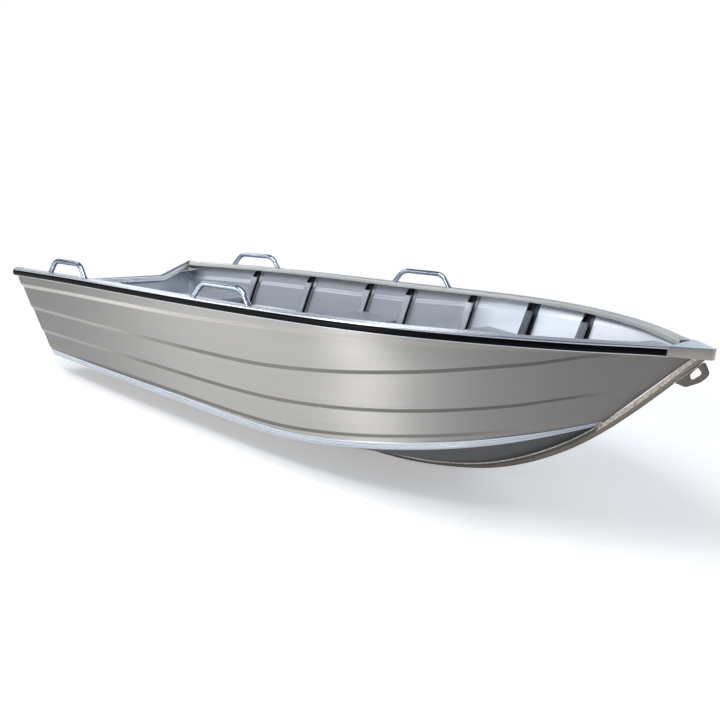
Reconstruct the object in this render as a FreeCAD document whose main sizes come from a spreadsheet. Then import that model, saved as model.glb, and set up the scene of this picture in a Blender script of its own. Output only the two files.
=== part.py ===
import FreeCAD, Part
import math
import os
from FreeCAD import Vector

# Open aluminium rowing boat with a V bottom. Millimetres: +X to the bow, +Y to port, +Z up.
# Every curve is drawn from the foot of the transom and then moved so that the boat's box is centred in X.

doc = FreeCAD.newDocument("RowingBoat")
sheet = doc.addObject("Spreadsheet::Sheet", "Sizes")

sizes = [
    ("hullLength", 3500, "first station at the stern to the last one at the bow"),
    ("halfBeam", 805, "centre line to the outside of the fender at the widest place"),
    ("bowHeight", 854, "floor to the gunwale's top at the bow"),
    ("noseReach", 10, "bow cap past the last station"),
    ("transomFoot", 24, "foot of the transom ahead of the first station"),
    ("transomRake", 17.9, "lean of the transom, degrees from upright"),
    ("sternOverhang", 12, "gunwale past the transom's aft face"),
    ("sidePlate", 2, "thickness of the side plates"),
    ("bottomPlate", 2.5, "thickness of the bottom plates"),
    ("transomPlate", 3, "thickness of the transom"),
    ("ledgeDepth", 5.5, "step of each pressed ledge"),
    ("ledgeHeight", 15, "height of a ledge's slanting face"),
    ("chineLeg", 34, "chine strip up the side"),
    ("chineFoot", 24, "chine strip under the bottom"),
    ("chinePlate", 4, "thickness of the chine strip"),
    ("gunwaleWidth", 67, "gunwale's top flange"),
    ("gunwaleInset", 3, "gunwale's top edge inside the fender's face"),
    ("gunwaleDepth", 39, "gunwale's outer web"),
    ("gunwaleWall", 3, "gunwale's wall"),
    ("gunwaleLip", 24, "gunwale's inner lip"),
    ("fenderHeight", 27, "fender strip, up and down"),
    ("fenderDepth", 14, "fender strip, from the web outward"),
    ("fenderDrop", 9, "gunwale's top to the fender"),
    ("keelWidth", 24, "keel, across"),
    ("keelDepth", 16, "keel, below the bottom plates"),
    ("stemWidth", 12, "stem bar, across"),
    ("stemDepth", 34, "stem bar, ahead of the plates"),
    ("runnerWidth", 30, "bottom runner, across"),
    ("runnerOut", 155, "centre line to the runner's middle"),
    ("runnerStart", 34, "first station to the runner"),
    ("runnerLength", 760, "bottom runner, along"),
    ("frameWidth", 40, "frame's crown, along the boat"),
    ("frameDepth", 35, "frame, off the side plate"),
    ("floorDepth", 42, "frame, off the bottom plate"),
    ("frameWall", 2, "frame's sheet"),
    ("frameTop", 55, "gunwale's top to the top of the crown"),
    ("flankTop", 20, "gunwale's top to the top of the flanks"),
    ("aftSeatHeight", 432, "floor to the aft seat's top"),
    ("midSeatHeight", 512, "floor to the middle seat's top"),
    ("bowSeatHeight", 592, "floor to the bow seat's top"),
    ("seatPlate", 2, "thickness of a seat's sheet"),
    ("seatEdge", 24, "seat's turned down edge"),
    ("aftSeatStart", 170, "first station to the aft seat"),
    ("aftSeatEnd", 400, "first station to the aft seat's front"),
    ("midSeatStart", 1256, "first station to the middle seat"),
    ("midSeatEnd", 1528, "first station to the middle seat's front"),
    ("bowSeatStart", 2092, "first station to the bow seat"),
    ("bowSeatEnd", 2460, "first station to the bow seat's front"),
    ("seatSetBack", 16, "seat's box behind its edge"),
    ("handleTube", 25, "outside of the handle's tube"),
    ("aftHandle", 390, "first station to the middle of the aft handle"),
    ("forwardHandle", 1603, "first station to the middle of the forward handle"),
    ("handleBase", 347, "between the feet of a handle"),
    ("handleRise", 68, "gunwale's top to the middle of the tube"),
    ("handleSplay", 62, "foot of a leg outside its top"),
    ("handleBend", 42, "bend radius on the tube's middle line"),
    ("capTop", 3, "thickness of the bow cap"),
    ("capSkirt", 33, "bow cap's skirt below the gunwale's top"),
    ("capLength", 132, "bow cap along the boat"),
    ("capOverlap", 22, "gunwale under the bow cap"),
    ("noseWidth", 26, "bow cap's blunt front"),
    ("eyePlate", 10, "thickness of the bow eye"),
    ("transomHeight", 483, "floor to the top of the transom's level middle"),
    ("transomHalf", 385, "centre line to the end of the level middle"),
    ("cornerIn", 52, "side plate to the end of the transom's slope"),
    ("cornerDrop", 14, "gunwale's top to the end of the slope"),
    ("capRail", 36, "transom capping, along the boat"),
    ("capRailDepth", 26, "transom capping, down the plate"),
    ("padWidth", 300, "motor pad, across"),
    ("padHeight", 220, "motor pad, up and down"),
    ("padThick", 18, "motor pad, off the transom"),
    ("drainBore", 25, "hole for the bung"),
    ("drainSocket", 40, "outside of the drain socket"),
    ("drainLength", 18, "drain socket, end to end"),
    ("drainHeight", 46, "floor to the middle of the drain"),
    ("kneeLeg", 120, "leg of a quarter knee"),
    ("kneePlate", 3, "thickness of a quarter knee"),
]
row = 1
for alias, size, note in sizes:
    sheet.set("A%d" % row, alias)
    sheet.set("B%d" % row, str(size))
    sheet.set("C%d" % row, note)
    sheet.setAlias("B%d" % row, alias)
    row += 1
doc.recompute()


def size(alias):
    return float(getattr(sheet, alias))


along = size("hullLength") / 3500.0
across = size("halfBeam") / 805.0
upward = size("bowHeight") / 854.0
rakeSlope = math.tan(math.radians(size("transomRake")))
stemHalf = size("stemWidth") / 2


def smooth(stations, scaleX, scaleV):
    # Natural cubic through (place, value) pairs, straight beyond both ends.
    xs = [s[0] * scaleX for s in stations]
    vs = [s[1] * scaleV for s in stations]
    n = len(xs)
    gaps = [xs[i + 1] - xs[i] for i in range(n - 1)]
    slopes = [(vs[i + 1] - vs[i]) / gaps[i] for i in range(n - 1)]
    diag = [1.0] * n
    right = [0.0] * n
    rhs = [0.0] * n
    for i in range(1, n - 1):
        lower = gaps[i - 1]
        ratio = lower / diag[i - 1]
        diag[i] = 2 * (gaps[i - 1] + gaps[i]) - ratio * right[i - 1]
        right[i] = gaps[i]
        rhs[i] = 6 * (slopes[i] - slopes[i - 1]) - ratio * rhs[i - 1]
    bend = [0.0] * n
    for i in range(n - 2, 0, -1):
        bend[i] = (rhs[i] - right[i] * bend[i + 1]) / diag[i]

    def value(x):
        if x <= xs[0]:
            return vs[0] + (x - xs[0]) * (slopes[0] - gaps[0] * bend[1] / 6)
        if x >= xs[-1]:
            return vs[-1] + (x - xs[-1]) * (slopes[-1] + gaps[-1] * bend[-2] / 6)
        i = 0
        while x > xs[i + 1]:
            i += 1
        a = (xs[i + 1] - x) / gaps[i]
        b = (x - xs[i]) / gaps[i]
        cubic = ((a ** 3 - a) * bend[i] + (b ** 3 - b) * bend[i + 1]) * gaps[i] ** 2 / 6
        return a * vs[i] + b * vs[i + 1] + cubic

    return value


# Sheer: outside of the fender in plan, and top of the gunwale in height.
sheerY = smooth([(-150, 668), (0, 686), (400, 731), (800, 766), (1200, 787), (1600, 799), (2000, 805),
                 (2400, 766), (2700, 662), (3000, 484), (3200, 315), (3300, 211), (3400, 119),
                 (3500, 37)], along, across)
sheerZ = smooth([(-150, 568), (400, 624), (1000, 675), (1600, 723), (2000, 758), (2400, 791),
                 (2800, 819), (3200, 841), (3500, 854)], along, upward)
# Chine: outer lower corner of the chine strip.
chineY = smooth([(0, 486), (400, 524), (800, 547), (1200, 558), (1600, 561), (2000, 556), (2300, 530),
                 (2550, 476), (2750, 400), (2900, 312), (3020, 213), (3110, 112), (3165, 22)],
                along, across)
chineZ = smooth([(0, 88), (500, 105), (1000, 118), (1400, 121), (1650, 124), (1850, 134), (2050, 159),
                 (2300, 203), (2500, 248), (2700, 300), (2860, 351), (3010, 407), (3100, 442),
                 (3165, 462)], along, upward)
# Front of the keel and stem, seen from the side. It lies on the floor as far as x = 1800.
forefoot = smooth([(1800, 0), (2000, 3), (2150, 13), (2280, 30), (2400, 52), (2620, 108), (2850, 213),
                   (3050, 352), (3250, 546), (3471, 799), (3530, 868)], along, upward)


def profileZ(x):
    if x < 1800 * along:
        return 0.0
    return max(0.0, forefoot(x))


def profileSlope(x):
    return (profileZ(x + 1) - profileZ(x - 1)) / 2


def blend(x, low, high):
    t = min(1.0, max(0.0, (x - low) / (high - low)))
    return t * t * (3 - 2 * t)


def barDepth(x):
    grow = blend(x, 2250 * along, 2950 * along)
    return size("keelDepth") + (size("stemDepth") - size("keelDepth")) * grow


def barPoint(x, depth):
    # Point behind the front of the keel or stem, measured square to it.
    slope = profileSlope(x)
    long = math.hypot(1, slope)
    return x - depth * slope / long, profileZ(x) + depth / long


def transomX(z):
    return size("transomFoot") - z * rakeSlope


def meetTransom(height):
    x = 0.0
    for i in range(40):
        x = transomX(height(x))
    return x


def meetStem(height):
    low = 2500 * along
    high = 3560 * along
    for i in range(50):
        mid = (low + high) / 2
        x, z = barPoint(mid, barDepth(mid))
        if z < height(x):
            low = mid
        else:
            high = mid
    return barPoint(low, barDepth(low))[0], low


def topZ(x):
    return sheerZ(x) - size("gunwaleWall")


def lowZ(x):
    return chineZ(x) + size("chinePlate")


webInset = size("fenderDepth") + size("gunwaleWall")
topStart = meetTransom(topZ)
topEnd, topStem = meetStem(topZ)
lowStart = meetTransom(lowZ)
lowEnd, lowStem = meetStem(lowZ)
sternEnd = transomX(sheerZ(topStart)) - size("transomPlate") - size("sternOverhang")
noseX = size("hullLength") + size("noseReach")
shift = (sternEnd + noseX) / 2


def at(x, y, z):
    return Vector(x - shift, y, z)


def topLine(t):
    x = topStart + t * (topEnd - topStart)
    y = sheerY(x) - webInset
    last = sheerY(topEnd) - webInset
    return Vector(x, y + (stemHalf - last) * t ** 8, topZ(x))


def lowLine(t):
    x = lowStart + t * (lowEnd - lowStart)
    y = chineY(x) - size("chinePlate")
    last = chineY(lowEnd) - size("chinePlate")
    return Vector(x, y + (stemHalf - last) * t ** 8, lowZ(x))


keelStart = transomX(size("keelDepth"))


def keelLine(t):
    u = keelStart + t * (lowStem - keelStart)
    x, z = barPoint(u, barDepth(u))
    return Vector(x, stemHalf, z)


def mix(a, b, share):
    return a + (b - a) * share


def sideBase(t, share):
    return mix(topLine(t), lowLine(t), share)


def bottomBase(t, share):
    return mix(lowLine(t), keelLine(t), share)


def squareTo(surface, t, share):
    # Unit vector square to the surface, pointing out of the hull.
    step = 0.004
    t0 = min(max(t, step), 0.985)
    ahead = surface(t0 + step, share) - surface(t0 - step, share)
    down = surface(t0, share + 0.01) - surface(t0, share - 0.01)
    out = ahead.cross(down)
    out.normalize()
    return out if out.y > 0 or out.z < 0 else out * -1


def sideOut(t, share):
    out = squareTo(sideBase, t, share)
    return out if out.y > 0 else out * -1


def bottomOut(t, share):
    out = squareTo(bottomBase, t, share)
    return out if out.z < 0 else out * -1


# Pressed ledges: share of the way from the gunwale to the chine, and how much of the full step is left.
ledges = [
    (smooth([(0, 0.195), (0.25, 0.178), (0.45, 0.158), (0.65, 0.115), (0.85, 0.095), (0.95, 0.06),
             (1, 0.04)], 1, 1), 0.86, 0.95),
    (smooth([(0, 0.452), (0.35, 0.452), (0.45, 0.442), (0.55, 0.425), (0.62, 0.399), (0.7, 0.363),
             (0.75, 0.33), (0.8, 0.287), (0.85, 0.228), (0.9, 0.165), (0.95, 0.12), (1, 0.1)], 1, 1),
     0.86, 0.94),
    (smooth([(0, 0.72), (0.3, 0.708), (0.5, 0.698), (0.62, 0.68), (0.7, 0.667), (0.765, 0.651),
             (0.82, 0.627), (0.87, 0.592), (0.915, 0.557), (0.956, 0.54), (1, 0.53)], 1, 1), 0.9, 0.99),
    (smooth([(0, 0.919), (0.3, 0.918), (0.53, 0.911), (0.7, 0.898), (0.85, 0.88), (1, 0.87)], 1, 1),
     0.93, 1.0),
]


def sideRails():
    # Outer lines of the side plate from the gunwale down: (share, step) as functions of t.
    rails = [(lambda t: 0.0, lambda t: 0.0)]
    for line, full, gone in ledges:
        def left(t, full=full, gone=gone):
            return 0.08 + 0.92 * (1 - blend(t, full, gone))

        def half(t, left=left):
            return size("ledgeHeight") / 2 / (topLine(t) - lowLine(t)).Length

        def upper(t, line=line, half=half):
            return line(t) - half(t)

        def lower(t, line=line, half=half):
            return line(t) + half(t)

        def proud(t, left=left):
            return size("ledgeDepth") / 2 * left(t)

        def deep(t, left=left):
            return -size("ledgeDepth") / 2 * left(t)

        rails.append((upper, proud))
        rails.append((lower, deep))
        last = deep
    rails.append((lambda t: 1.0, last))
    return rails


sideLines = sideRails()
steps = 18
marks = [i / steps for i in range(steps + 1)]


def sidePoint(k, t, inward):
    share, step = sideLines[k]
    s = share(t)
    return sideBase(t, s) + sideOut(t, s) * (step(t) - inward)


def edgeThrough(points):
    if len(points) == 2:
        return Part.makeLine(points[0], points[1])
    curve = Part.BSplineCurve()
    n = len(points) - 1
    curve.interpolate(Points=points, Parameters=[i / n for i in range(n + 1)])
    return curve.toShape()


def between(a, b):
    return Part.makeRuledSurface(a, b)


def quad(a, b, c, d):
    # Flat face where the four corners lie in one plane, otherwise the twisted one between two edges.
    across = (b - a).cross(d - a)
    if across.Length > 1e-6 and abs(across.dot(c - a)) < 1e-5 * across.Length:
        return Part.Face(Part.makePolygon([a, b, c, d, a]))
    return between(Part.makeLine(a, b), Part.makeLine(d, c))


def solidOf(faces):
    shell = Part.Shell(faces)
    shell.sewShape()
    solid = Part.Solid(Part.Shell(shell.Faces))
    if solid.Volume < 0:
        solid.reverse()
    return solid


def skin(rails, quads):
    # Solid between lines that run the same way: rails in order round the section, quads close both ends.
    edges = [edgeThrough(r) for r in rails]
    faces = [between(edges[i], edges[(i + 1) % len(edges)]) for i in range(len(edges))]
    for end in (0, -1):
        for a, b, c, d in quads:
            faces.append(quad(rails[a][end], rails[b][end], rails[c][end], rails[d][end]))
    return solidOf(faces)


def block(first, second):
    # Solid between two flat polygons with as many corners each.
    n = len(first)
    faces = [Part.Face(Part.makePolygon(first + first[:1])), Part.Face(Part.makePolygon(second + second[:1]))]
    for i in range(n):
        j = (i + 1) % n
        faces.append(quad(first[i], first[j], second[j], second[i]))
    return solidOf(faces)


def placed(v):
    return at(v.x, -v.y, v.z)


def mirrored(shape):
    return shape.mirror(Vector(0, 0, 0), Vector(0, 1, 0))


nodes = {}


def keep(name, label, shape):
    feature = doc.addObject("Part::Feature", name)
    feature.Shape = shape
    feature.Label = label
    nodes[name] = feature


def keepPair(name, label, shape):
    keep(name + "_starboard", label + ", starboard", shape)
    keep(name + "_port", label + ", port", mirrored(shape))


# Side plates: sheet with four ledges, each curve run from the transom to the stem.
outer = [[placed(sidePoint(k, t, 0)) for t in marks] for k in range(len(sideLines))]
inner = [[placed(sidePoint(k, t, size("sidePlate"))) for t in marks] for k in range(len(sideLines))]
count = len(sideLines)
rails = outer + inner[::-1]
quads = [(k, k + 1, 2 * count - 2 - k, 2 * count - 1 - k) for k in range(count - 1)]
sidePlate = skin(rails, quads)
keepPair("side", "Side plate", sidePlate)


# Bottom plates: straight across from the chine to the keel, twisting toward the bow.
def bottomPoint(t, share, inward):
    return bottomBase(t, share) + bottomOut(t, share) * -inward


def bottomEdge(t):
    return (size("bottomPlate") + 0.4) / (lowLine(t) - keelLine(t)).Length


bottomMarks = [m * 0.997 for m in marks]
rails = [
    [placed(bottomPoint(t, bottomEdge(t), 0)) for t in bottomMarks],
    [placed(bottomPoint(t, 1.0, 0)) for t in bottomMarks],
    [placed(bottomPoint(t, 1.0, size("bottomPlate"))) for t in bottomMarks],
    [placed(bottomPoint(t, bottomEdge(t), size("bottomPlate"))) for t in bottomMarks],
]
keepPair("bottom", "Bottom plate", skin(rails, [(0, 1, 2, 3)]))


# Chine strips: an angle over the joint of side and bottom.
def chineSection(t):
    sideN = sideOut(t, 0.98)
    bottomN = bottomOut(t, 0.05)
    corner = lowLine(t)
    up = topLine(t) - corner
    up = up - sideN * up.dot(sideN)
    up.normalize()
    foot = keelLine(t) - corner
    foot = foot - bottomN * foot.dot(bottomN)
    foot.normalize()
    lie = sideLines[-1][1](t)
    both = sideN.dot(bottomN)

    def meet(a, b):
        alpha = (a - both * b) / (1 - both * both)
        beta = (b - both * a) / (1 - both * both)
        return corner + sideN * alpha + bottomN * beta

    thick = size("chinePlate")
    narrow = 1 - 0.75 * blend(t, 0.9, 1.0)
    leg = size("chineLeg") * (1 - 0.4 * blend(t, 0.9, 1.0))
    return [
        corner + up * leg + sideN * (lie + thick),
        meet(lie + thick, thick),
        corner + foot * size("chineFoot") * narrow + bottomN * thick,
        corner + foot * size("chineFoot") * narrow,
        meet(lie, 0),
        corner + up * leg + sideN * lie,
    ]


chineMarks = [m * 0.996 for m in marks]
sections = [chineSection(t) for t in chineMarks]
rails = [[placed(s[k]) for s in sections] for k in range(6)]
keepPair("chine", "Chine strip", skin(rails, [(0, 1, 4, 5), (1, 2, 3, 4)]))


# Gunwale and fender: sections square to the sheer in plan, upright in height.
def sheerPoint(x, outward, drop):
    slope = (sheerY(x + 1) - sheerY(x - 1)) / 2
    long = math.hypot(1, slope)
    return Vector(x - outward * slope / long, sheerY(x) + outward / long, sheerZ(x) + drop)


capStart = noseX - size("capLength")
gunwaleMarks = [sternEnd + i * (capStart + size("capOverlap") - sternEnd) / 24 for i in range(25)]
fenderMarks = [sternEnd + i * (capStart - 2 - sternEnd) / 24 for i in range(25)]
wall = size("gunwaleWall")
inset = size("gunwaleInset")
wide = size("gunwaleWidth") + inset
channel = -size("fenderDepth")
seat = -size("fenderDrop")
under = -size("fenderDrop") - size("fenderHeight")
gunwaleSection = [
    (-inset, 0), (-wide, 0), (-wide, -size("gunwaleLip")), (-wide + wall, -size("gunwaleLip")),
    (-wide + wall, -wall), (channel - wall, -wall), (channel - wall, -size("gunwaleDepth")),
    (-5, -size("gunwaleDepth")), (-5, under), (channel, under), (channel, seat), (-inset, seat),
]
rails = [[placed(sheerPoint(x, o, z)) for x in gunwaleMarks] for o, z in gunwaleSection]
gunwale = skin(rails, [(1, 2, 3, 4), (0, 1, 4, 5), (0, 5, 10, 11), (5, 6, 9, 10), (6, 7, 8, 9)])
keepPair("gunwale", "Gunwale", gunwale)

fenderSection = [
    (channel, seat), (-3, seat), (0, seat - 5), (0, under + 5), (-3, under), (channel, under),
]
rails = [[placed(sheerPoint(x, o, z)) for x in fenderMarks] for o, z in fenderSection]
keepPair("fender", "Fender strip", skin(rails, [(0, 1, 4, 5), (1, 2, 3, 4)]))


# Keel and stem: one line from the transom's foot to the bow cap, in two lengths.
def barRails(start, end, half, n):
    rails = [[], [], [], []]
    for i in range(n + 1):
        x = start + (end - start) * i / n
        w = half(x)
        inX, inZ = barPoint(x, barDepth(x))
        rails[0].append(at(x, -w, profileZ(x)))
        rails[1].append(at(x, w, profileZ(x)))
        rails[2].append(at(inX, w, inZ))
        rails[3].append(at(inX, -w, inZ))
    return rails


joinX = 2600 * along


def keelHalf(x):
    narrow = blend(x, joinX - 260, joinX)
    return size("keelWidth") / 2 * (1 - narrow) + stemHalf * narrow


keep("keel", "Keel", skin(barRails(transomX(0), joinX, keelHalf, 26), [(0, 1, 2, 3)]))
stemTop = topStem + 6
keep("stem", "Stem bar", skin(barRails(joinX, stemTop, lambda x: stemHalf, 14), [(0, 1, 2, 3)]))


# Bottom runners, level with the keel's underside.
def bottomZ(x, y):
    t = x / (lowEnd * 1.0)
    share = 0.5
    for i in range(12):
        a = lowLine(t)
        b = keelLine(t)
        share = (a.y - y) / (a.y - b.y)
        here = a + (b - a) * share
        t = min(0.98, max(-0.02, t + (x - here.x) / (lowEnd - lowStart)))
    return here.z


runnerHalf = size("runnerWidth") / 2
rails = [[], [], [], []]
for i in range(7):
    x = size("runnerStart") + size("runnerLength") * i / 6
    lift = 22 if i == 6 else 0
    for k, (y, low) in enumerate([(-runnerHalf, True), (runnerHalf, True), (runnerHalf, False),
                                  (-runnerHalf, False)]):
        side = size("runnerOut") + y
        z = lift if low else bottomZ(x, side)
        rails[k].append(Vector(x, side, z))
pieces = []
for i in range(6):
    pieces.append(block([placed(r[i]) for r in rails], [placed(r[i + 1]) for r in rails]))
keepPair("runner", "Bottom runner", pieces[0].fuse(pieces[1:]).removeSplitter())


# Transom: flat plate on the rake, outlined by the hull and dipped in the middle.
def onTransom(y, z, aft):
    return at(transomX(z) - aft, y, z)


def transomOutline(aft):
    corner = sidePoint(0, 0, 0)
    right = [Vector(0, -size("transomHalf"), size("transomHeight"))]
    right.append(Vector(0, -corner.y + size("cornerIn"), sheerZ(topStart) - size("cornerDrop")))
    right.append(Vector(0, -corner.y, topZ(topStart)))
    for k in range(1, count):
        p = sidePoint(k, 0, 0)
        right.append(Vector(0, -p.y, p.z))
    foot = keelLine(0)
    right.append(Vector(0, -foot.y, foot.z))
    left = [Vector(0, -p.y, p.z) for p in right[::-1]]
    return [onTransom(p.y, p.z, aft) for p in right + left]


thick = size("transomPlate") / math.cos(math.radians(size("transomRake")))
transom = block(transomOutline(0), transomOutline(thick))
port = mirrored(gunwale)
transom = transom.cut([gunwale, port])
drainAt = onTransom(0, size("drainHeight"), 0)
square = Vector(-math.cos(math.radians(size("transomRake"))), 0, -math.sin(math.radians(size("transomRake"))))
bore = Part.makeCylinder(size("drainBore") / 2, 60, drainAt - square * 30, square)
hole = Part.makeCylinder(size("drainSocket") / 2, 60, drainAt - square * 30, square)
keep("transom", "Transom plate", transom.cut(hole))
socket = Part.makeCylinder(size("drainSocket") / 2, size("drainLength"),
                           drainAt - square * (size("drainLength") / 2 - 1), square)
keep("drain_socket", "Drain socket", socket.cut(bore))


# Capping over the transom's top edge, in three straight lengths with mitred joints.
def cappingOuter(y, z):
    half = size("capRail") / 2
    mid = transomX(z) - thick / 2
    drop = size("capRailDepth")
    spots = [(-half, 3), (half, 3), (half, -drop), (half - 3, -drop), (half - 3, 0), (-half + 3, 0),
             (-half + 3, -drop), (-half, -drop)]
    return [at(mid + o - rakeSlope * d, y, z + d) for o, d in spots]


cornerY = sidePoint(0, 0, 0).y - size("cornerIn")
cornerZ = sheerZ(topStart) - size("cornerDrop")
stops = [(-cornerY, cornerZ), (-size("transomHalf"), size("transomHeight")),
         (size("transomHalf"), size("transomHeight")), (cornerY, cornerZ)]
lengths = [block(cappingOuter(*stops[i]), cappingOuter(*stops[i + 1])) for i in range(3)]
capping = lengths[0].fuse(lengths[1:]).cut([gunwale, port])
keep("transom_capping", "Transom capping", capping)

# Motor pad on the transom's aft face.
pad = doc.addObject("Part::Box", "motor_pad")
pad.setExpression("Length", "Sizes.padThick")
pad.setExpression("Width", "Sizes.padWidth")
pad.setExpression("Height", "Sizes.padHeight")
padTop = size("transomHeight") - size("capRailDepth") - 4
foot = onTransom(0, padTop - size("padHeight") * math.cos(math.radians(size("transomRake"))), thick)
aim = FreeCAD.Rotation(Vector(0, 1, 0), -size("transomRake"))
pad.Placement = FreeCAD.Placement(foot + aim.multVec(Vector(-size("padThick"), -size("padWidth") / 2, 0)), aim)
pad.Label = "Motor pad"
nodes["motor_pad"] = pad


# Frames: hat section up both sides and across the bottom, open toward the plates.
def sideT(k, x):
    t = 0.5
    for i in range(12):
        p = sidePoint(k, min(max(t, 0), 1), size("sidePlate"))
        t = t + (x - p.x) / (topEnd - topStart)
    return min(max(t, 0), 1)


def bottomInner(x, share):
    t = x / lowEnd
    for i in range(12):
        s = share if share > 0 else bottomEdge(t)
        p = bottomPoint(t, s, size("bottomPlate"))
        t = min(0.98, max(0.0, t + (x - p.x) / (lowEnd - lowStart)))
    return p


def plateLine(x, low):
    # Inner face of the hull at one station, from the given height under the gunwale to the keel.
    pts = []
    for k in range(count):
        p = sidePoint(k, sideT(k, x), size("sidePlate"))
        pts.append((p.y, p.z))
    start = sheerZ(x) - low
    kept = []
    for a, b in zip(pts, pts[1:]):
        if a[1] > start >= b[1]:
            share = (a[1] - start) / (a[1] - b[1])
            kept.append((a[0] + (b[0] - a[0]) * share, start))
        if b[1] < start:
            kept.append(b)
    first = bottomInner(x, 0)
    last = bottomInner(x, 1.0)
    kept[-1] = (min(kept[-1][0], first.y + 3), kept[-1][1] + 2.5)
    kept.append((first.y, first.z))
    kept.append((last.y, last.z))
    return kept


def cross(a, b, c, d):
    # Where the line a-b meets the line c-d.
    ux, uz = b[0] - a[0], b[1] - a[1]
    vx, vz = d[0] - c[0], d[1] - c[1]
    det = ux * vz - uz * vx
    s = ((c[0] - a[0]) * vz - (c[1] - a[1]) * vx) / det
    return (a[0] + ux * s, a[1] + uz * s)


def offLine(a, b, by):
    ux, uz = b[0] - a[0], b[1] - a[1]
    long = math.hypot(ux, uz)
    nx, nz = uz / long, -ux / long
    return (a[0] + nx * by, a[1] + nz * by), (b[0] + nx * by, b[1] + nz * by)


def crown(x, depth, floor, top, drop):
    # Inner line of a frame: down the side, round the corner, across to the centre.
    line = plateLine(x, drop)
    a, b = offLine(line[0], line[-3], depth + size("ledgeDepth") / 2)
    c, d = offLine(line[-2], line[-1], floor)
    corner = cross(a, b, c, d)
    middle = (0.0, c[1] + (d[1] - c[1]) * (0.0 - c[0]) / (d[0] - c[0]))
    height = sheerZ(x) - top
    share = (height - a[1]) / (b[1] - a[1])
    head = (a[0] + (b[0] - a[0]) * share, height)
    return line, head, corner, middle


def loop(x, half):
    right = [at(x, -y, z) for y, z in half]
    left = [at(x, y, z) for y, z in half[::-1]]
    return right + left


def frameLoop(x):
    line, head, corner, middle = crown(x, size("frameDepth"), size("floorDepth"), size("frameTop"),
                                       size("flankTop"))
    right = [at(x, -y, z) for y, z in [corner, head] + line]
    left = [at(x, y, z) for y, z in ([corner, head] + line)[::-1]]
    return right + left + [at(x, 0, middle[1])]


def hollowLoop(x):
    gap = size("frameWall")
    line, head, corner, middle = crown(x, size("frameDepth") - gap, size("floorDepth") - gap,
                                       size("frameTop") - 40, size("flankTop") - 40)
    out = []
    for i, (y, z) in enumerate(line):
        a = line[max(0, i - 1)]
        b = line[min(len(line) - 1, i + 1)]
        away, unused = offLine(a, b, -5)
        out.append((y + away[0] - a[0], z + away[1] - a[1]))
    out[-1] = (line[-1][0], line[-1][1] - 5)
    right = [at(x, -y, z) for y, z in [corner, head] + out]
    left = [at(x, y, z) for y, z in ([corner, head] + out)[::-1]]
    return right + left + [at(x, 0, middle[1])]


frameStations = [414, 833, 1263, 1549, 1953, 2329, 2696]
frameBlocks = []
for n, station in enumerate(frameStations):
    x = station * along
    half = size("frameWidth") / 2
    whole = block(frameLoop(x - half), frameLoop(x + half))
    inset = half - size("frameWall")
    void = block(hollowLoop(x - inset), hollowLoop(x + inset))
    frameBlocks.append(whole)
    keep("frame_%d" % (n + 1), "Frame %d" % (n + 1), whole.cut(void))


# Seats: a plate between the sides with turned down edges, on a closed box, notched round the frames.
def innerY(x, level):
    # Distance from the centre line to the side plate's inner face at one height.
    pts = []
    for k in range(count):
        p = sidePoint(k, sideT(k, x), size("sidePlate"))
        pts.append((p.y, p.z))
    for a, b in zip(pts, pts[1:]):
        if a[1] > level >= b[1]:
            return a[0] + (b[0] - a[0]) * (a[1] - level) / (a[1] - b[1])
    return pts[-1][0]


def seatPlate(start, end, low, high):
    stations = [start + (end - start) * i / 6 for i in range(7)]
    right = [at(x, -innerY(x, low) + 0.1, low) for x in stations]
    left = [at(x, innerY(x, low) - 0.1, low) for x in stations[::-1]]
    return Part.Face(Part.makePolygon(right + left + right[:1])).extrude(Vector(0, 0, high - low))


def panelLoop(x, high, lean):
    # Outline of a seat's front or back panel: down both sides and across the V of the bottom.
    clear = size("ledgeDepth") + size("sidePlate") + 0.2
    a = sideBase(sideT(0, x), 0)
    b = sideBase(sideT(count - 1, x), 1)
    share = (a.z - high) / (a.z - b.z)
    first = bottomInner(x, 0)
    last = bottomInner(x, 1.0)
    spots = [(a.y + (b.y - a.y) * share - clear, high), (first.y - 3, first.z + 12),
             (first.y - 12, first.z + 3), (last.y, last.z + 1)]
    right = [at(x + lean, -y, z) for y, z in spots]
    left = [at(x + lean, y, z) for y, z in spots[::-1]]
    return right + left


def panel(x, high):
    return block(panelLoop(x, high, 0), panelLoop(x, high, size("seatPlate")))


def seatSolid(start, end, height):
    plate = size("seatPlate")
    edge = size("seatEdge")
    back = size("seatSetBack")
    parts = [seatPlate(end - plate, end, height - edge, height - plate),
             panel(end - back - plate, height - plate),
             seatPlate(start, start + plate, height - edge, height - plate),
             panel(start + back, height - plate)]
    return seatPlate(start, end, height - plate, height).fuse(parts)


for place, label in [("aft", "Aft seat"), ("mid", "Middle seat"), ("bow", "Bow seat")]:
    begin = size(place + "SeatStart") * along
    finish = size(place + "SeatEnd") * along
    solid = seatSolid(begin, finish, size(place + "SeatHeight"))
    near = []
    for station, whole in zip(frameStations, frameBlocks):
        if begin - 25 < station * along < finish + 25:
            near.append(whole)
    if near:
        solid = solid.cut(near)
    solids = sorted(solid.Solids, key=lambda s: -s.Volume)
    keep("seat_middle" if place == "mid" else "seat_" + place, label, solids[0])


# Handles: round bar with two bends, welded to the gunwale's top.
def rod(start, stop, radius):
    return Part.makeCylinder(radius, (stop - start).Length, start, stop - start)


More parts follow.
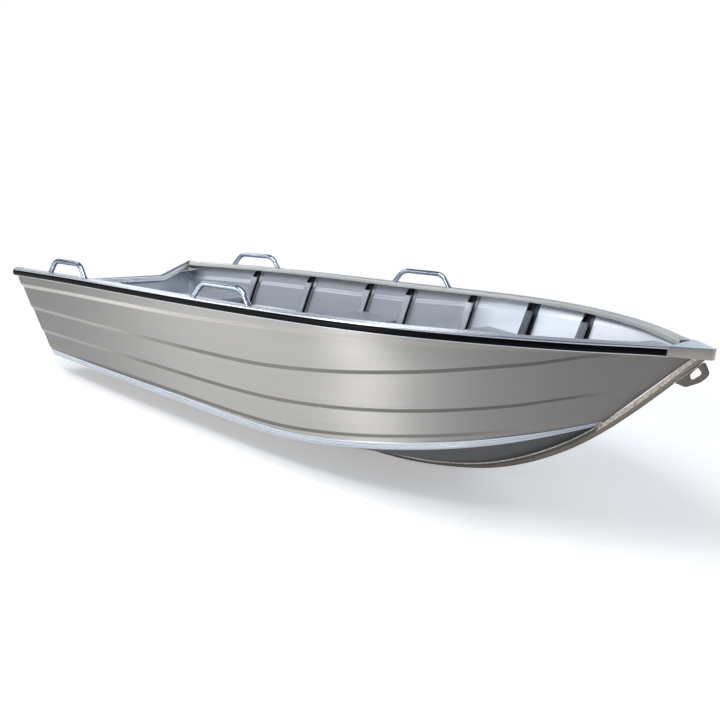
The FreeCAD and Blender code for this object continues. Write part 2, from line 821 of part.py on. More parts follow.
def handle(station):
    inward = size("gunwaleInset") + size("gunwaleWidth") / 2
    span = size("handleBase") / 2
    aft = sheerPoint(station - span, -inward, 0)
    fore = sheerPoint(station + span, -inward, 0)
    run = fore - aft
    run.normalize()
    lift = Vector(0, 0, 1)
    rise = size("handleRise")
    corners = [aft - lift, aft + run * size("handleSplay") + lift * rise,
               fore - run * size("handleSplay") + lift * rise, fore - lift]
    corners = [placed(c) for c in corners]
    radius = size("handleTube") / 2
    bend = size("handleBend")
    pieces = []
    last = corners[0]
    for i in (1, 2):
        here = corners[i]
        back = corners[i - 1] - here
        onward = corners[i + 1] - here
        back.normalize()
        onward.normalize()
        turn = math.pi - math.acos(back.dot(onward))
        reach = bend * math.tan(turn / 2)
        start = here + back * reach
        halfway = back + onward
        halfway.normalize()
        centre = here + halfway * (bend / math.cos(turn / 2))
        ring = Part.Face(Part.Wire([Part.makeCircle(radius, start, back)]))
        pieces.append(rod(last, start, radius))
        pieces.append(ring.revolve(centre, onward.cross(back), math.degrees(turn)))
        last = here + onward * reach
    pieces.append(rod(last, corners[3], radius))
    return pieces[0].fuse(pieces[1:]).removeSplitter()


keepPair("handle_aft", "Aft handle", handle(size("aftHandle") * along))
keepPair("handle_forward", "Forward handle", handle(size("forwardHandle") * along))


# Bow cap: folded plate over the ends of the gunwales.
def capLoop(x, out, low, high):
    y = sheerPoint(capStart, 0, 0).y
    share = (x - capStart) / (noseX - capStart)
    half = y + (size("noseWidth") / 2 - y) * share + out
    top = sheerZ(x) + high
    foot = sheerZ(x) + low
    return [at(x, -half, top), at(x, half, top), at(x, half, foot), at(x, -half, foot)]


skirt = size("capSkirt")
plate = size("capTop")
whole = block(capLoop(capStart, 1, -skirt, 0.3 + plate), capLoop(noseX, 1, -skirt, 0.3 + plate))
void = block(capLoop(capStart - 5, 1 - plate * 1.4, -skirt - 20, 0.3),
             capLoop(noseX - plate, 1 - plate * 1.4, -skirt - 20, 0.3))
cap = whole.cut(void)
keep("bow_cap", "Bow cap", cap)

# Bow eye: shackle plate on the stem's front.
outline = [(3371, 681), (3383, 692), (3423, 684), (3476, 716), (3499, 743), (3503, 760), (3478, 800),
           (3465, 793)]
eyeShape = [(x * along, z * upward) for x, z in outline]
half = size("eyePlate") / 2
wire = Part.makePolygon([at(x, -half, z) for x, z in eyeShape + eyeShape[:1]])
eye = Part.Face(wire).extrude(Vector(0, size("eyePlate"), 0))
window = [(3456, 773), (3473, 758), (3474, 748), (3446, 721), (3436, 720), (3429, 735)]
windowShape = [(x * along, z * upward) for x, z in window]
wire = Part.makePolygon([at(x, -half - 5, z) for x, z in windowShape + windowShape[:1]])
eye = eye.cut(Part.Face(wire).extrude(Vector(0, size("eyePlate") + 10, 0)))
keep("bow_eye", "Bow eye", eye.cut(nodes["stem"].Shape))


# Quarter knees: flat plates across the corners of gunwale and transom.
def knee():
    leg = size("kneeLeg")
    z = sheerZ(topStart) - size("gunwaleLip") - 2
    a = sheerPoint(topStart + 30, -size("gunwaleWidth") - 1, 0)
    spots = [(transomX(z) + 1, a.y), (transomX(z) + leg, a.y + 8), (transomX(z) + 1, a.y - leg)]
    low = [placed(Vector(x, y, z)) for x, y in spots]
    high = [placed(Vector(x, y, z + size("kneePlate"))) for x, y in spots]
    return block(low, high)


keepPair("knee", "Quarter knee", knee())

doc.recompute()
os.makedirs("parts", exist_ok=True)
for obj in doc.Objects:
    if "Invalid" in obj.State:
        raise RuntimeError("not computed: " + obj.Name)
for name, feature in nodes.items():
    shape = feature.Shape
    if shape.isNull() or not shape.isValid():
        raise RuntimeError("bad shape: " + name)
    shape.exportStep("parts/%s.step" % name)
    box = shape.BoundBox
    print("%-20s %8.1f cm3  x %.0f..%.0f  y %.0f..%.0f  z %.0f..%.0f" % (
        name, shape.Volume / 1000, box.XMin, box.XMax, box.YMin, box.YMax, box.ZMin, box.ZMax))
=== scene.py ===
import bpy
import bmesh
import math
import numpy as np
from mathutils import Matrix, Vector


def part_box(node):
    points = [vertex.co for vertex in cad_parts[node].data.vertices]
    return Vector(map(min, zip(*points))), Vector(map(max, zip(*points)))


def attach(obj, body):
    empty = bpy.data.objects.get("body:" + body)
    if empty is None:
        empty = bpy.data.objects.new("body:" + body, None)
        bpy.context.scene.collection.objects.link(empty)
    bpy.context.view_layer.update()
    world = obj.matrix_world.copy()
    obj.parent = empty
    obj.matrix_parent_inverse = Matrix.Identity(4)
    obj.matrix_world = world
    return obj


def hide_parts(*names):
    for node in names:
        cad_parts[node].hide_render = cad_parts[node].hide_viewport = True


# Open welded aluminium rowing boat. Metres in the frame's own axes: +X to the bow, +Y to port, +Z up.
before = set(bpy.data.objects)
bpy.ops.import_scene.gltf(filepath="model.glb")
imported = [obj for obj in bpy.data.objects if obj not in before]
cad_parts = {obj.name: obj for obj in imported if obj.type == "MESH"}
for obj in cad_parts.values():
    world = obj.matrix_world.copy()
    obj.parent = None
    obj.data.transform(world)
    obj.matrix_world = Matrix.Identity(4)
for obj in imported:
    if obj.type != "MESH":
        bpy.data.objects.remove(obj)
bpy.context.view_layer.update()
scene = bpy.context.scene
noseX = 3.510  # the bow cap's tip, from the transom's foot
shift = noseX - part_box("bow_cap")[1].x
print("frame loaded,", len(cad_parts), "nodes")


# Small tools for lines, sheets and lofts

def linear(hexText, alpha=1.0):
    out = []
    for i in (1, 3, 5):
        c = int(hexText[i:i + 2], 16) / 255
        out.append(c / 12.92 if c <= 0.04045 else ((c + 0.055) / 1.055) ** 2.4)
    return (*out, alpha)


def addNode(tree, kind, inputs=None, **settings):
    node = tree.nodes.new(kind)
    for name, value in settings.items():
        setattr(node, name, value)
    for key, value in (inputs or {}).items():
        if isinstance(value, bpy.types.NodeSocket):
            tree.links.new(value, node.inputs[key])
        else:
            node.inputs[key].default_value = value
    return node


def spline(stations):
    # Natural cubic through (place, value) pairs given in thousandths, straight beyond both ends.
    xs, vs = np.array(stations, float).T / 1000
    n = len(xs)
    gap = np.diff(xs)
    slope = np.diff(vs) / gap
    system = np.eye(n)
    right = np.zeros(n)
    for i in range(1, n - 1):
        system[i, i - 1:i + 2] = gap[i - 1], 2 * (gap[i - 1] + gap[i]), gap[i]
        right[i] = 6 * (slope[i] - slope[i - 1])
    bend = np.linalg.solve(system, right)
    first = slope[0] - gap[0] * bend[1] / 6
    last = slope[-1] + gap[-1] * bend[-2] / 6

    def value(x):
        x = np.asarray(x, float)
        i = np.clip(np.searchsorted(xs, x) - 1, 0, n - 2)
        inside = np.clip(x, xs[0], xs[-1])
        a = (xs[i + 1] - inside) / gap[i]
        b = (inside - xs[i]) / gap[i]
        cubic = ((a ** 3 - a) * bend[i] + (b ** 3 - b) * bend[i + 1]) * gap[i] ** 2 / 6
        beyond = np.minimum(x - xs[0], 0) * first + np.maximum(x - xs[-1], 0) * last
        return a * vs[i] + b * vs[i + 1] + cubic + beyond

    return value


def blend(x, low, high):
    t = np.clip((x - low) / (high - low), 0, 1)
    return t * t * (3 - 2 * t)


def size(vectors):
    return np.linalg.norm(vectors, axis=-1, keepdims=True)


def unit(vectors):
    return vectors / size(vectors)


def stack(x, y, z):
    return np.stack(np.broadcast_arrays(x, y, z), -1)


def addObject(name, data):
    obj = bpy.data.objects.new(name, data)
    scene.collection.objects.link(obj)
    return obj


def rowFrame(points, mirror=1):
    # Points measured from the transom's foot, moved to the row's frame. Mirror -1 gives starboard.
    return np.asarray(points, float) * (1, mirror, 1) - (shift, 0, 0)


def roundLoop(loops, radii, steps=4, closed=True):
    # Each corner of a section becomes a soft arc that starts its radius before the corner.
    m = loops.shape[1]
    if np.isscalar(radii):
        radii = [radii] * m
    out = []
    for k in range(m):
        here = loops[:, k]
        if not radii[k] or (not closed and k in (0, m - 1)):
            out.append(here)
            continue
        back = loops[:, k - 1] - here
        onward = loops[:, (k + 1) % m] - here
        cutBack = np.minimum(radii[k], 0.46 * size(back))
        cutOnward = np.minimum(radii[k], 0.46 * size(onward))
        a = here + unit(back) * cutBack
        b = here + unit(onward) * cutOnward
        for i in range(steps + 1):
            w = i / steps
            out.append((1 - w) ** 2 * a + 2 * w * (1 - w) * here + w * w * b)
    return np.stack(out, 1)


def arcLengths(points, axis):
    steps = size(np.diff(points, axis=axis))[..., 0]
    run = np.cumsum(steps.mean(1 - axis))
    return np.concatenate([[0], run])


def makePiece(name, points, faces, materials, slots=None, uv=None, crease=32):
    mesh = bpy.data.meshes.new(name)
    mesh.from_pydata(np.asarray(points, float).tolist(), [], faces)
    for material in materials:
        mesh.materials.append(material)
    if slots is not None:
        mesh.polygons.foreach_set("material_index", slots)
    if uv is not None:
        layer = mesh.uv_layers.new(name="grain")
        corners = np.zeros(len(mesh.loops), dtype=np.int32)
        mesh.loops.foreach_get("vertex_index", corners)
        layer.data.foreach_set("uv", uv[corners].astype(np.float32).ravel())
    work = bmesh.new()
    work.from_mesh(mesh)
    bmesh.ops.recalc_face_normals(work, faces=work.faces)
    creaseSharp(work, crease)
    work.to_mesh(mesh)
    work.free()
    return addObject(name, mesh)


def creaseSharp(work, crease):
    for face in work.faces:
        face.smooth = True
    for edge in work.edges:
        edge.smooth = len(edge.link_faces) == 2 and edge.calc_face_angle(0.0) < math.radians(crease)


def loft(name, loops, materials, crease=32, bandSlots=None):
    # Closed sections joined end to end, with their lengths in the grain map.
    n, m = loops.shape[:2]
    faces = []
    slots = []
    for i in range(n - 1):
        for j in range(m):
            k = (j + 1) % m
            faces.append((i * m + j, (i + 1) * m + j, (i + 1) * m + k, i * m + k))
            slots.append(bandSlots[j] if bandSlots else 0)
    faces.append(tuple(range(m)))
    faces.append(tuple((n - 1) * m + j for j in range(m - 1, -1, -1)))
    slots += [0, 0]
    u = arcLengths(loops, 0)
    v = arcLengths(loops, 1)
    uv = np.stack([np.repeat(u, m), np.tile(v, n)], -1)
    return makePiece(name, loops.reshape(-1, 3), faces, materials, slots, uv, crease)


def setPaintedLight(obj, values):
    # Painted light: how bright the sheet's surface is at each point, read by its finish.
    layer = obj.data.attributes.new("paintedLightLevel", "FLOAT", "POINT")
    layer.data.foreach_set("value", np.asarray(values, dtype=np.float32).ravel())


def shell(name, outer, inner, materials, innerSlot=0, crease=32, bandSlots=None):
    # Sheet with an outer and an inner grid of points and closed edges.
    n, m = outer.shape[:2]
    total = n * m
    faces = []
    slots = []
    for i in range(n - 1):
        for j in range(m - 1):
            a, b = i * m + j, (i + 1) * m + j
            faces.append((a, b, b + 1, a + 1))
            slots.append(bandSlots[j] if bandSlots else 0)
            faces.append((total + a, total + a + 1, total + b + 1, total + b))
            slots.append(innerSlot)
    for j in (0, m - 1):
        for i in range(n - 1):
            a, b = i * m + j, (i + 1) * m + j
            faces.append((a, total + a, total + b, b))
            slots.append(0)
    for i in (0, n - 1):
        for j in range(m - 1):
            a = i * m + j
            faces.append((a, a + 1, total + a + 1, total + a))
            slots.append(0)
    u = arcLengths(outer, 0)
    v = arcLengths(outer, 1)
    one = np.stack([np.repeat(u, m), np.tile(v, n)], -1)
    points = np.concatenate([outer.reshape(-1, 3), inner.reshape(-1, 3)])
    return makePiece(name, points, faces, materials, slots, np.concatenate([one, one]), crease)


def finishPiece(obj, slotName, *nodes):
    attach(obj, "root")
    if nodes:
        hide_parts(*nodes)
    return obj


def plainMesh(obj, name):
    # The evaluated object as a plain mesh, so that no modifier is left on the piece.
    graph = bpy.context.evaluated_depsgraph_get()
    mesh = bpy.data.meshes.new_from_object(obj.evaluated_get(graph))
    made = addObject(name, mesh)
    bpy.data.objects.remove(obj)
    return made


bothSides = (("Starboard", "_starboard", -1), ("Port", "_port", 1))


# Finishes

def metalFinish(name, values):
    # Metal with fine scratches along the sheet, broad streaks and slight waves of the plate.
    material = bpy.data.materials.new(name)
    material.use_nodes = True
    tree = material.node_tree
    shader = tree.nodes["Principled BSDF"]
    if values["map"] == "UV":
        place = addNode(tree, "ShaderNodeUVMap", uv_map="grain").outputs["UV"]
    else:
        place = addNode(tree, "ShaderNodeTexCoord").outputs["Object"]
    # one unit is a metre: scratch lengths and widths in millimetres become counts per metre
    fineScale = [1000 / mm for mm in values["scratch"]]
    fine = addNode(tree, "ShaderNodeMapping", {"Vector": place, "Scale": fineScale})
    scratches = addNode(tree, "ShaderNodeTexNoise", {
        "Vector": fine.outputs["Vector"], "Scale": 1.0, "Detail": 3.0, "Roughness": 0.6})
    broad = addNode(tree, "ShaderNodeMapping", {
        "Vector": place, "Scale": [1000 / mm for mm in values["streak"]]})
    streaks = addNode(tree, "ShaderNodeTexNoise", {
        "Vector": broad.outputs["Vector"], "Scale": 1.0, "Detail": 2.0, "Roughness": 0.5})
    both = addNode(tree, "ShaderNodeMath", {0: scratches.outputs["Fac"], 1: streaks.outputs["Fac"]},
                   operation="ADD")
    span = values["roughnessSpan"]
    rough = addNode(tree, "ShaderNodeMapRange", {
        "Value": both.outputs["Value"], "From Min": 0.6, "From Max": 1.4,
        "To Min": values["roughness"] - span, "To Max": values["roughness"] + span})
    tint = addNode(tree, "ShaderNodeMix", {
        "Factor": streaks.outputs["Fac"], 6: linear(values["dark"]), 7: linear(values["light"])},
        data_type="RGBA")
    bump = addNode(tree, "ShaderNodeBump", {
        "Height": scratches.outputs["Fac"], "Strength": values["bump"], "Distance": 0.0006})
    tree.links.new(rough.outputs["Result"], shader.inputs["Roughness"])
    colour = tint.outputs[2]
    # painted light: the colour is multiplied by the painted brightness stored on the piece's points
    if values.get("paintedLightLevel"):
        amount = addNode(tree, "ShaderNodeAttribute", attribute_name="paintedLightLevel")
        toned = addNode(tree, "ShaderNodeMix", {"Factor": 1.0, 6: colour, 7: amount.outputs["Fac"]},
                        data_type="RGBA", blend_type="MULTIPLY")
        colour = toned.outputs[2]
    tree.links.new(colour, shader.inputs["Base Color"])
    tree.links.new(bump.outputs["Normal"], shader.inputs["Normal"])
    shader.inputs["Metallic"].default_value = values["metallic"]
    # an edge tint paints a darker reflection where the surface turns away
    if values.get("edge"):
        shader.inputs["Specular Tint"].default_value = linear(values["edge"])
    if values.get("brushed"):
        # grooves run along the map's U, so the gloss spreads across them
        along = addNode(tree, "ShaderNodeTangent", direction_type="UV_MAP", uv_map="grain")
        tree.links.new(along.outputs["Tangent"], shader.inputs["Tangent"])
        shader.inputs["Anisotropic"].default_value = values["brushed"]
        shader.inputs["Anisotropic Rotation"].default_value = 0.25
    return material


# Rolled 5000-series sheet, brushed lengthwise: soft horizontal streaks and a broad warm gloss.
# Its brightness along the hull is painted reflection, read from the painted light level on its points.
brushedSide = metalFinish("brushedAluminiumSheet", {
    "map": "UV", "scratch": (90, 2.0, 1), "streak": (900, 30, 1), "dark": "#A2A09D", "light": "#AFADAA",
    "roughness": 0.50, "roughnessSpan": 0.04, "bump": 0.06, "metallic": 0.95, "paintedLightLevel": True, "brushed": 0.85})
# The pressed ledges, burnished by the roller: tighter gloss than the planks between them. Their brightness
# along the hull is painted reflection, bright at the stern and dark forward.
pressedLedge = metalFinish("rollerPressedLedge", {
    "map": "UV", "scratch": (120, 3, 1), "streak": (700, 20, 1), "dark": "#A09D98", "light": "#AEABA6",
    "roughness": 0.46, "roughnessSpan": 0.04, "bump": 0.04, "metallic": 0.95, "paintedLightLevel": True, "brushed": 0.8})
# Bottom plate outside: dull from water and sand, and dark as painted shade, since it faces down into the
# boat's shadow.
dullAndShadedBottom = metalFinish("dullAndShadedBottomSheet", {
    "map": "UV", "scratch": (60, 4, 1), "streak": (400, 60, 1), "dark": "#3D3E40", "light": "#505254",
    "roughness": 0.5, "roughnessSpan": 0.06, "bump": 0.1, "metallic": 0.85})
# The same sheet inside, left as rolled and a little smoother; its cool blue cast is a painted sky reflection.
insidePaintedSky = metalFinish("millFinishPaintedSky", {
    "map": "UV", "scratch": (60, 3, 1), "streak": (500, 60, 1), "dark": "#C6CCD4", "light": "#DADFE5",
    "roughness": 0.40, "roughnessSpan": 0.04, "bump": 0.03, "metallic": 0.85, "paintedLightLevel": True})
# The inside of the bottom, scuffed by boots: darker and duller, with no mirror of the lamps. Its brightness
# along the hull is painted reflection.
troddenSheet = metalFinish("troddenAluminiumFloor", {
    "map": "UV", "scratch": (40, 6, 1), "streak": (300, 60, 1), "dark": "#8C9197", "light": "#A5AAB0",
    "roughness": 0.56, "roughnessSpan": 0.06, "bump": 0.08, "metallic": 0.6, "paintedLightLevel": True})
# Extruded 6060 trim: drawn lines along its length, brighter than the sheet.
extrudedTrim = metalFinish("extrudedAluminium", {
    "map": "UV", "scratch": (400, 4, 1), "streak": (900, 12, 1), "dark": "#BCC3CC", "light": "#D6DBE1",
    "roughness": 0.28, "roughnessSpan": 0.03, "bump": 0.01, "metallic": 0.95})
# The rail's inner lip: the same profile, rubbed warm and pale by hands and ropes.
rubbedLip = metalFinish("rubbedRailLip", {
    "map": "UV", "scratch": (200, 3, 1), "streak": (700, 8, 1), "dark": "#B3B3B1", "light": "#DEDDD9",
    "roughness": 0.40, "roughnessSpan": 0.05, "bump": 0.02, "metallic": 0.6})
# Handrail bar polished before bending: near-mirror with faint wipe marks.
# Its edge tint is the darker ring that polished aluminium shows where it turns away, deepened to blue-grey as
# a painted reflection.
polishedBar = metalFinish("polishedAluminiumBar", {
    "map": "Object", "scratch": (8, 8, 8), "streak": (60, 60, 60), "dark": "#98A2B0", "light": "#B9C2CE",
    "roughness": 0.25, "roughnessSpan": 0.05, "bump": 0.02, "metallic": 1.0, "edge": "#5E6B7E"})
# Plate cut and folded by hand, as on the cap's skirt and the knees: no clear grain, warm grey.
foldedPlate = metalFinish("foldedAluminiumPlate", {
    "map": "Object", "scratch": (30, 30, 6), "streak": (120, 120, 60), "dark": "#A5A19B", "light": "#BBB7B1",
    "roughness": 0.36, "roughnessSpan": 0.05, "bump": 0.06, "metallic": 0.88})
# Top of the bow cap: sky-blue grey, a painted sky reflection on the sheet that lies flat.
capTopPaintedSky = metalFinish("flatCapPaintedSky", {
    "map": "Object", "scratch": (50, 8, 50), "streak": (200, 60, 200), "dark": "#A3AFBD", "light": "#B3BECB",
    "roughness": 0.34, "roughnessSpan": 0.04, "bump": 0.04, "metallic": 0.9})
# Stem, keel and runners: solid flat bar, browner than the sheet.
flatBar = metalFinish("aluminiumFlatBar", {
    "map": "Object", "scratch": (40, 40, 40), "streak": (200, 200, 200),
    "dark": "#4F4942", "light": "#6B645B",
    "roughness": 0.38, "roughnessSpan": 0.06, "bump": 0.06, "metallic": 0.85})
# Transom plate: dull, with the same cool blue cast as the inside, a painted sky reflection.
transomPlate = metalFinish("transomSheet", {
    "map": "Object", "scratch": (30, 90, 8), "streak": (300, 300, 90), "dark": "#B4BDC9", "light": "#CAD1DB",
    "roughness": 0.42, "roughnessSpan": 0.05, "bump": 0.05, "metallic": 0.55})
# Weld metal: bright, rippled and slightly burnt at its edges.
weldMetal = metalFinish("aluminiumWeld", {
    "map": "Object", "scratch": (2.5, 2.5, 2.5), "streak": (14, 14, 14),
    "dark": "#938A83", "light": "#FFF5EE",
    "roughness": 0.40, "roughnessSpan": 0.12, "bump": 0.2, "metallic": 0.35})
# Towing eye cut from thick plate and tumbled: dull warm grey, almost without gloss.
tumbledPlate = metalFinish("tumbledAluminiumPlate", {
    "map": "Object", "scratch": (12, 12, 12), "streak": (40, 40, 40), "dark": "#4C4945", "light": "#66625D",
    "roughness": 0.58, "roughnessSpan": 0.06, "bump": 0.1, "metallic": 0.6})
# Extruded frames: grey with drawn streaks up and down the crown.
frameValues = {
    "map": "UV", "scratch": (150, 2.2, 1), "streak": (300, 7, 1), "dark": "#6C7075", "light": "#D2D6DB",
    "roughness": 0.36, "roughnessSpan": 0.08, "bump": 0.1, "metallic": 0.75}
frameSheet = metalFinish("extrudedAluminiumFrame", frameValues)
# The same extrusion under the bow, in dark, streaky grey: painted shade and painted dark reflection.
shadedBowFrame = metalFinish("shadedBowAluminiumFrame", {**frameValues, "dark": "#24272B", "light": "#666B71"})
# Seat sheet with a fine grip pattern: dull grey.
seatSheet = metalFinish("grippedAluminiumSheet", {
    "map": "Object", "scratch": (5, 5, 5), "streak": (150, 60, 60), "dark": "#ABB0B6", "light": "#C6CAD0",
    "roughness": 0.5, "roughnessSpan": 0.08, "bump": 0.2, "metallic": 0.5})


def plainFinish(name, colour, roughness, grainMm, bumpStrength, gloss=0.5):
    # Moulded rubber or plastic with a fine pebble.
    material = bpy.data.materials.new(name)
    material.use_nodes = True
    tree = material.node_tree
    shader = tree.nodes["Principled BSDF"]
    place = addNode(tree, "ShaderNodeTexCoord").outputs["Object"]
    pebble = addNode(tree, "ShaderNodeTexNoise", {"Vector": place, "Scale": 1000 / grainMm, "Detail": 2.0})
    bump = addNode(tree, "ShaderNodeBump", {
        "Height": pebble.outputs["Fac"], "Strength": bumpStrength, "Distance": 0.0005})
    tree.links.new(bump.outputs["Normal"], shader.inputs["Normal"])
    shader.inputs["Base Color"].default_value = linear(colour)
    shader.inputs["Roughness"].default_value = roughness
    shader.inputs["Specular IOR Level"].default_value = gloss
    return material


# Fender rubber: deep black with hardly any gloss.
fenderRubber = plainFinish("extrudedBlackRubber", "#020305", 0.4, 4, 0.05, 0.07)
# Inside of the hollow frames, which no brush reaches, painted dark as the shade in them.
frameHollow = plainFinish("dullShadedFrameInside", "#121417", 0.7, 6, 0.1)
# Motor pad: moulded plastic with a coarse pebble that gives no clear reflection.
padPlastic = plainFinish("mouldedBlackPlastic", "#1B1C1E", 0.55, 3, 0.3)
# Turned bolt and rivet heads: small, hard highlights.
boltSteel = metalFinish("stainlessBolt", {
    "map": "Object", "scratch": (2, 2, 2), "streak": (10, 10, 10), "dark": "#A6A8AB", "light": "#C9CBCE",
    "roughness": 0.25, "roughnessSpan": 0.05, "bump": 0.05, "metallic": 1.0})
print("finishes made")


# The hull's lines, in millimetres from the transom's foot

sheerHalf = spline([(-150, 668), (0, 686), (400, 731), (800, 766), (1200, 787), (1600, 799), (2000, 805),
                    (2400, 766), (2700, 662), (3000, 484), (3200, 315), (3300, 211), (3400, 119), (3500, 37)])
sheerTop = spline([(-150, 568), (400, 624), (1000, 675), (1600, 723), (2000, 758), (2400, 791),
                   (2800, 819), (3200, 841), (3500, 854)])
chineHalf = spline([(0, 486), (400, 524), (800, 547), (1200, 558), (1600, 561), (2000, 556), (2300, 530),
                    (2550, 476), (2750, 400), (2900, 312), (3020, 213), (3110, 112), (3165, 22)])
chineHeight = spline([(0, 88), (500, 105), (1000, 118), (1400, 121), (1650, 124), (1850, 134), (2050, 159),
                      (2300, 203), (2500, 248), (2700, 300), (2860, 351), (3010, 407), (3100, 442),
                      (3165, 462)])
forefoot = spline([(1800, 0), (2000, 3), (2150, 13), (2280, 30), (2400, 52), (2620, 108), (2850, 213),
                   (3050, 352), (3250, 546), (3471, 799), (3530, 868)])

hull = {
    "rakeDegrees": 17.9, "transomFoot": 0.024, "transomPlate": 0.003, "sidePlate": 0.002,
    "bottomPlate": 0.0025, "chinePlate": 0.004, "gunwaleWall": 0.003, "fenderDepth": 0.014,
    "keelDepth": 0.016, "keelHalf": 0.012, "stemDepth": 0.034, "stemHalf": 0.006,
    "keelRise": 1.8, "deepens": (2.25, 2.95),  # where the keel turns up, and where its bar grows deeper
    "ledgeDepth": 0.0055, "ledgeHeight": 0.015, "ledgeFillet": 0.0016, "ledgeMargin": 0.0048,
    "stations": 170,
}
rake = math.tan(math.radians(hull["rakeDegrees"]))


def profileHeight(x):
    return np.where(x < hull["keelRise"], 0.0, np.maximum(forefoot(x), 0.0))


def barDepth(x):
    return hull["keelDepth"] + (hull["stemDepth"] - hull["keelDepth"]) * blend(x, *hull["deepens"])


def barPoint(x, depth):
    slope = (profileHeight(x + 0.001) - profileHeight(x - 0.001)) / 0.002
    long = np.hypot(1, slope)
    return x - depth * slope / long, profileHeight(x) + depth / long


def transomAt(z):
    return hull["transomFoot"] - z * rake


def meetTransom(height):
    # Where a line of the plan meets the raked transom, found by going back and forth.
    x = 0.0
    for i in range(40):
        x = float(transomAt(height(x)))
    return x


def meetStem(height):
    low, high = 2.5, noseX + 0.05
    for i in range(50):
        mid = (low + high) / 2
        x, z = barPoint(mid, barDepth(mid))
        if z < height(x):
            low = mid
        else:
            high = mid
    return float(barPoint(low, barDepth(low))[0]), low


def plateTop(x):
    return sheerTop(x) - hull["gunwaleWall"]


def plateLow(x):
    return chineHeight(x) + hull["chinePlate"]


topStart, (topEnd, topStem) = meetTransom(plateTop), meetStem(plateTop)
lowStart, (lowEnd, lowStem) = meetTransom(plateLow), meetStem(plateLow)
webInset = hull["fenderDepth"] + hull["gunwaleWall"]
keelStart = float(transomAt(hull["keelDepth"]))


def topLine(t):
    x = topStart + t * (topEnd - topStart)
    y = sheerHalf(x) - webInset
    return stack(x, y + (hull["stemHalf"] - sheerHalf(topEnd) + webInset) * t ** 8, plateTop(x))


def lowLine(t):
    x = lowStart + t * (lowEnd - lowStart)
    y = chineHalf(x) - hull["chinePlate"]
    return stack(x, y + (hull["stemHalf"] - chineHalf(lowEnd) + hull["chinePlate"]) * t ** 8, plateLow(x))


def keelLine(t):
    u = keelStart + t * (lowStem - keelStart)
    x, z = barPoint(u, barDepth(u))
    return stack(x, hull["stemHalf"], z)


def sideBase(t, s):
    return topLine(t) + (lowLine(t) - topLine(t)) * s[..., None]


def bottomBase(t, s):
    return lowLine(t) + (keelLine(t) - lowLine(t)) * s[..., None]


def squareTo(surface, t, s):
    # Direction square to a plate; past 98.5 per cent of its length the plate is too narrow to measure.
    step = 0.004
    t0 = np.clip(t, step, 0.985)
    ahead = surface(t0 + step, s) - surface(t0 - step, s)
    down = surface(t0, s + 0.01) - surface(t0, s - 0.01)
    return unit(np.cross(ahead, down))


def sideOut(t, s):
    out = squareTo(sideBase, t, s)
    return out * np.where(out[..., 1:2] > 0, 1, -1)


def bottomOut(t, s):
    out = squareTo(bottomBase, t, s)
    return out * np.where(out[..., 2:3] < 0, 1, -1)


# Pressed ledges: where each lies between gunwale and chine, and where it fades out forward.
ledges = [
    (spline([(0, 195), (250, 178), (450, 158), (650, 115), (850, 95), (950, 60), (1000, 40)]), 0.52, 0.74),
    (spline([(0, 452), (350, 455), (450, 448), (550, 434), (620, 411), (700, 378), (750, 348), (800, 310),
             (850, 253), (885, 205), (900, 174), (920, 130), (950, 100), (1000, 80)]), 0.90, 0.96),
    (spline([(0, 720), (300, 710), (500, 703), (620, 686), (700, 676), (765, 665), (820, 648), (870, 622),
             (895, 605), (915, 583), (940, 553), (956, 542), (1000, 530)]), 0.93, 0.975),
    (spline([(0, 919), (300, 918), (530, 911), (700, 898), (850, 880), (1000, 870)]), 0.82, 0.95),
]


def sideCorners(t):
    # Corners of the side's section at each station: share of the way down, and step out of the plate.
    long = size(topLine(t) - lowLine(t))[..., 0]
    half = hull["ledgeHeight"] / 2 / long
    shares = [np.zeros_like(t)]
    steps = [np.zeros_like(t)]
    for line, full, gone in ledges:
        left = (0.08 + 0.92 * (1 - blend(t, full, gone))) * hull["ledgeDepth"] / 2
        shares += [line(t) - half, line(t) + half]
        steps += [left, -left]
    shares.append(np.ones_like(t))
    steps.append(steps[-1])
    return np.stack(shares, 1), np.stack(steps, 1), long


def sideSection(t, inward=0.0):
    # Points of the side plate with each ledge's bends rounded.
    shares, steps, long = sideCorners(t)
    flat = np.stack([shares * long[:, None], steps, np.zeros_like(steps)], -1)
    trim, margin = hull["ledgeFillet"], hull["ledgeMargin"]
    rows = [flat[:, 0]]
    for k in range(1, flat.shape[1] - 1):
        here = flat[:, k]
        back, onward = flat[:, k - 1] - here, flat[:, k + 1] - here
        a = here + unit(back) * np.minimum(trim, 0.4 * size(back))
        b = here + unit(onward) * np.minimum(trim, 0.4 * size(onward))
        arc = [(1 - w) ** 2 * a + 2 * w * (1 - w) * here + w * w * b for w in (0, 0.25, 0.5, 0.75, 1)]
        if k % 2:
            rows += [here + unit(back) * (margin + 0.0004), here + unit(back) * margin]
            rows += arc + [here + unit(onward) * (trim + 0.001)]
        else:
            rows += [here + unit(back) * (trim + 0.001)] + arc
            rows += [here + unit(onward) * margin, here + unit(onward) * (margin + 0.0004)]
    rows.append(flat[:, -1])
    curve = np.stack(rows, 1)
    s = curve[..., 0] / long[:, None]
    tt = np.repeat(t[:, None], s.shape[1], 1)
    return sideBase(tt, s) + sideOut(tt, s) * (curve[..., 1:2] - inward)


# Side plates: bands of the section are numbered from the rail down, four ledges among them
stations = np.linspace(0, 1, hull["stations"])
outerSide = sideSection(stations)
innerSide = sideSection(stations, hull["sidePlate"])
ledgeBands = [(16 * k + 2, 16 * k + 14) for k in range(len(ledges))]
bandSlots = [0] * (outerSide.shape[1] - 1)
for first, last in ledgeBands:
    for band in range(first, last + 1):
        bandSlots[band] = 2
# painted reflection: how bright the plate is at three places, and where it changes between them
paintedSheen = {"stern": 0.72, "middle": 1.0, "bow": 0.62, "risesTo": 1.5, "falls": (2.42, 3.3)}
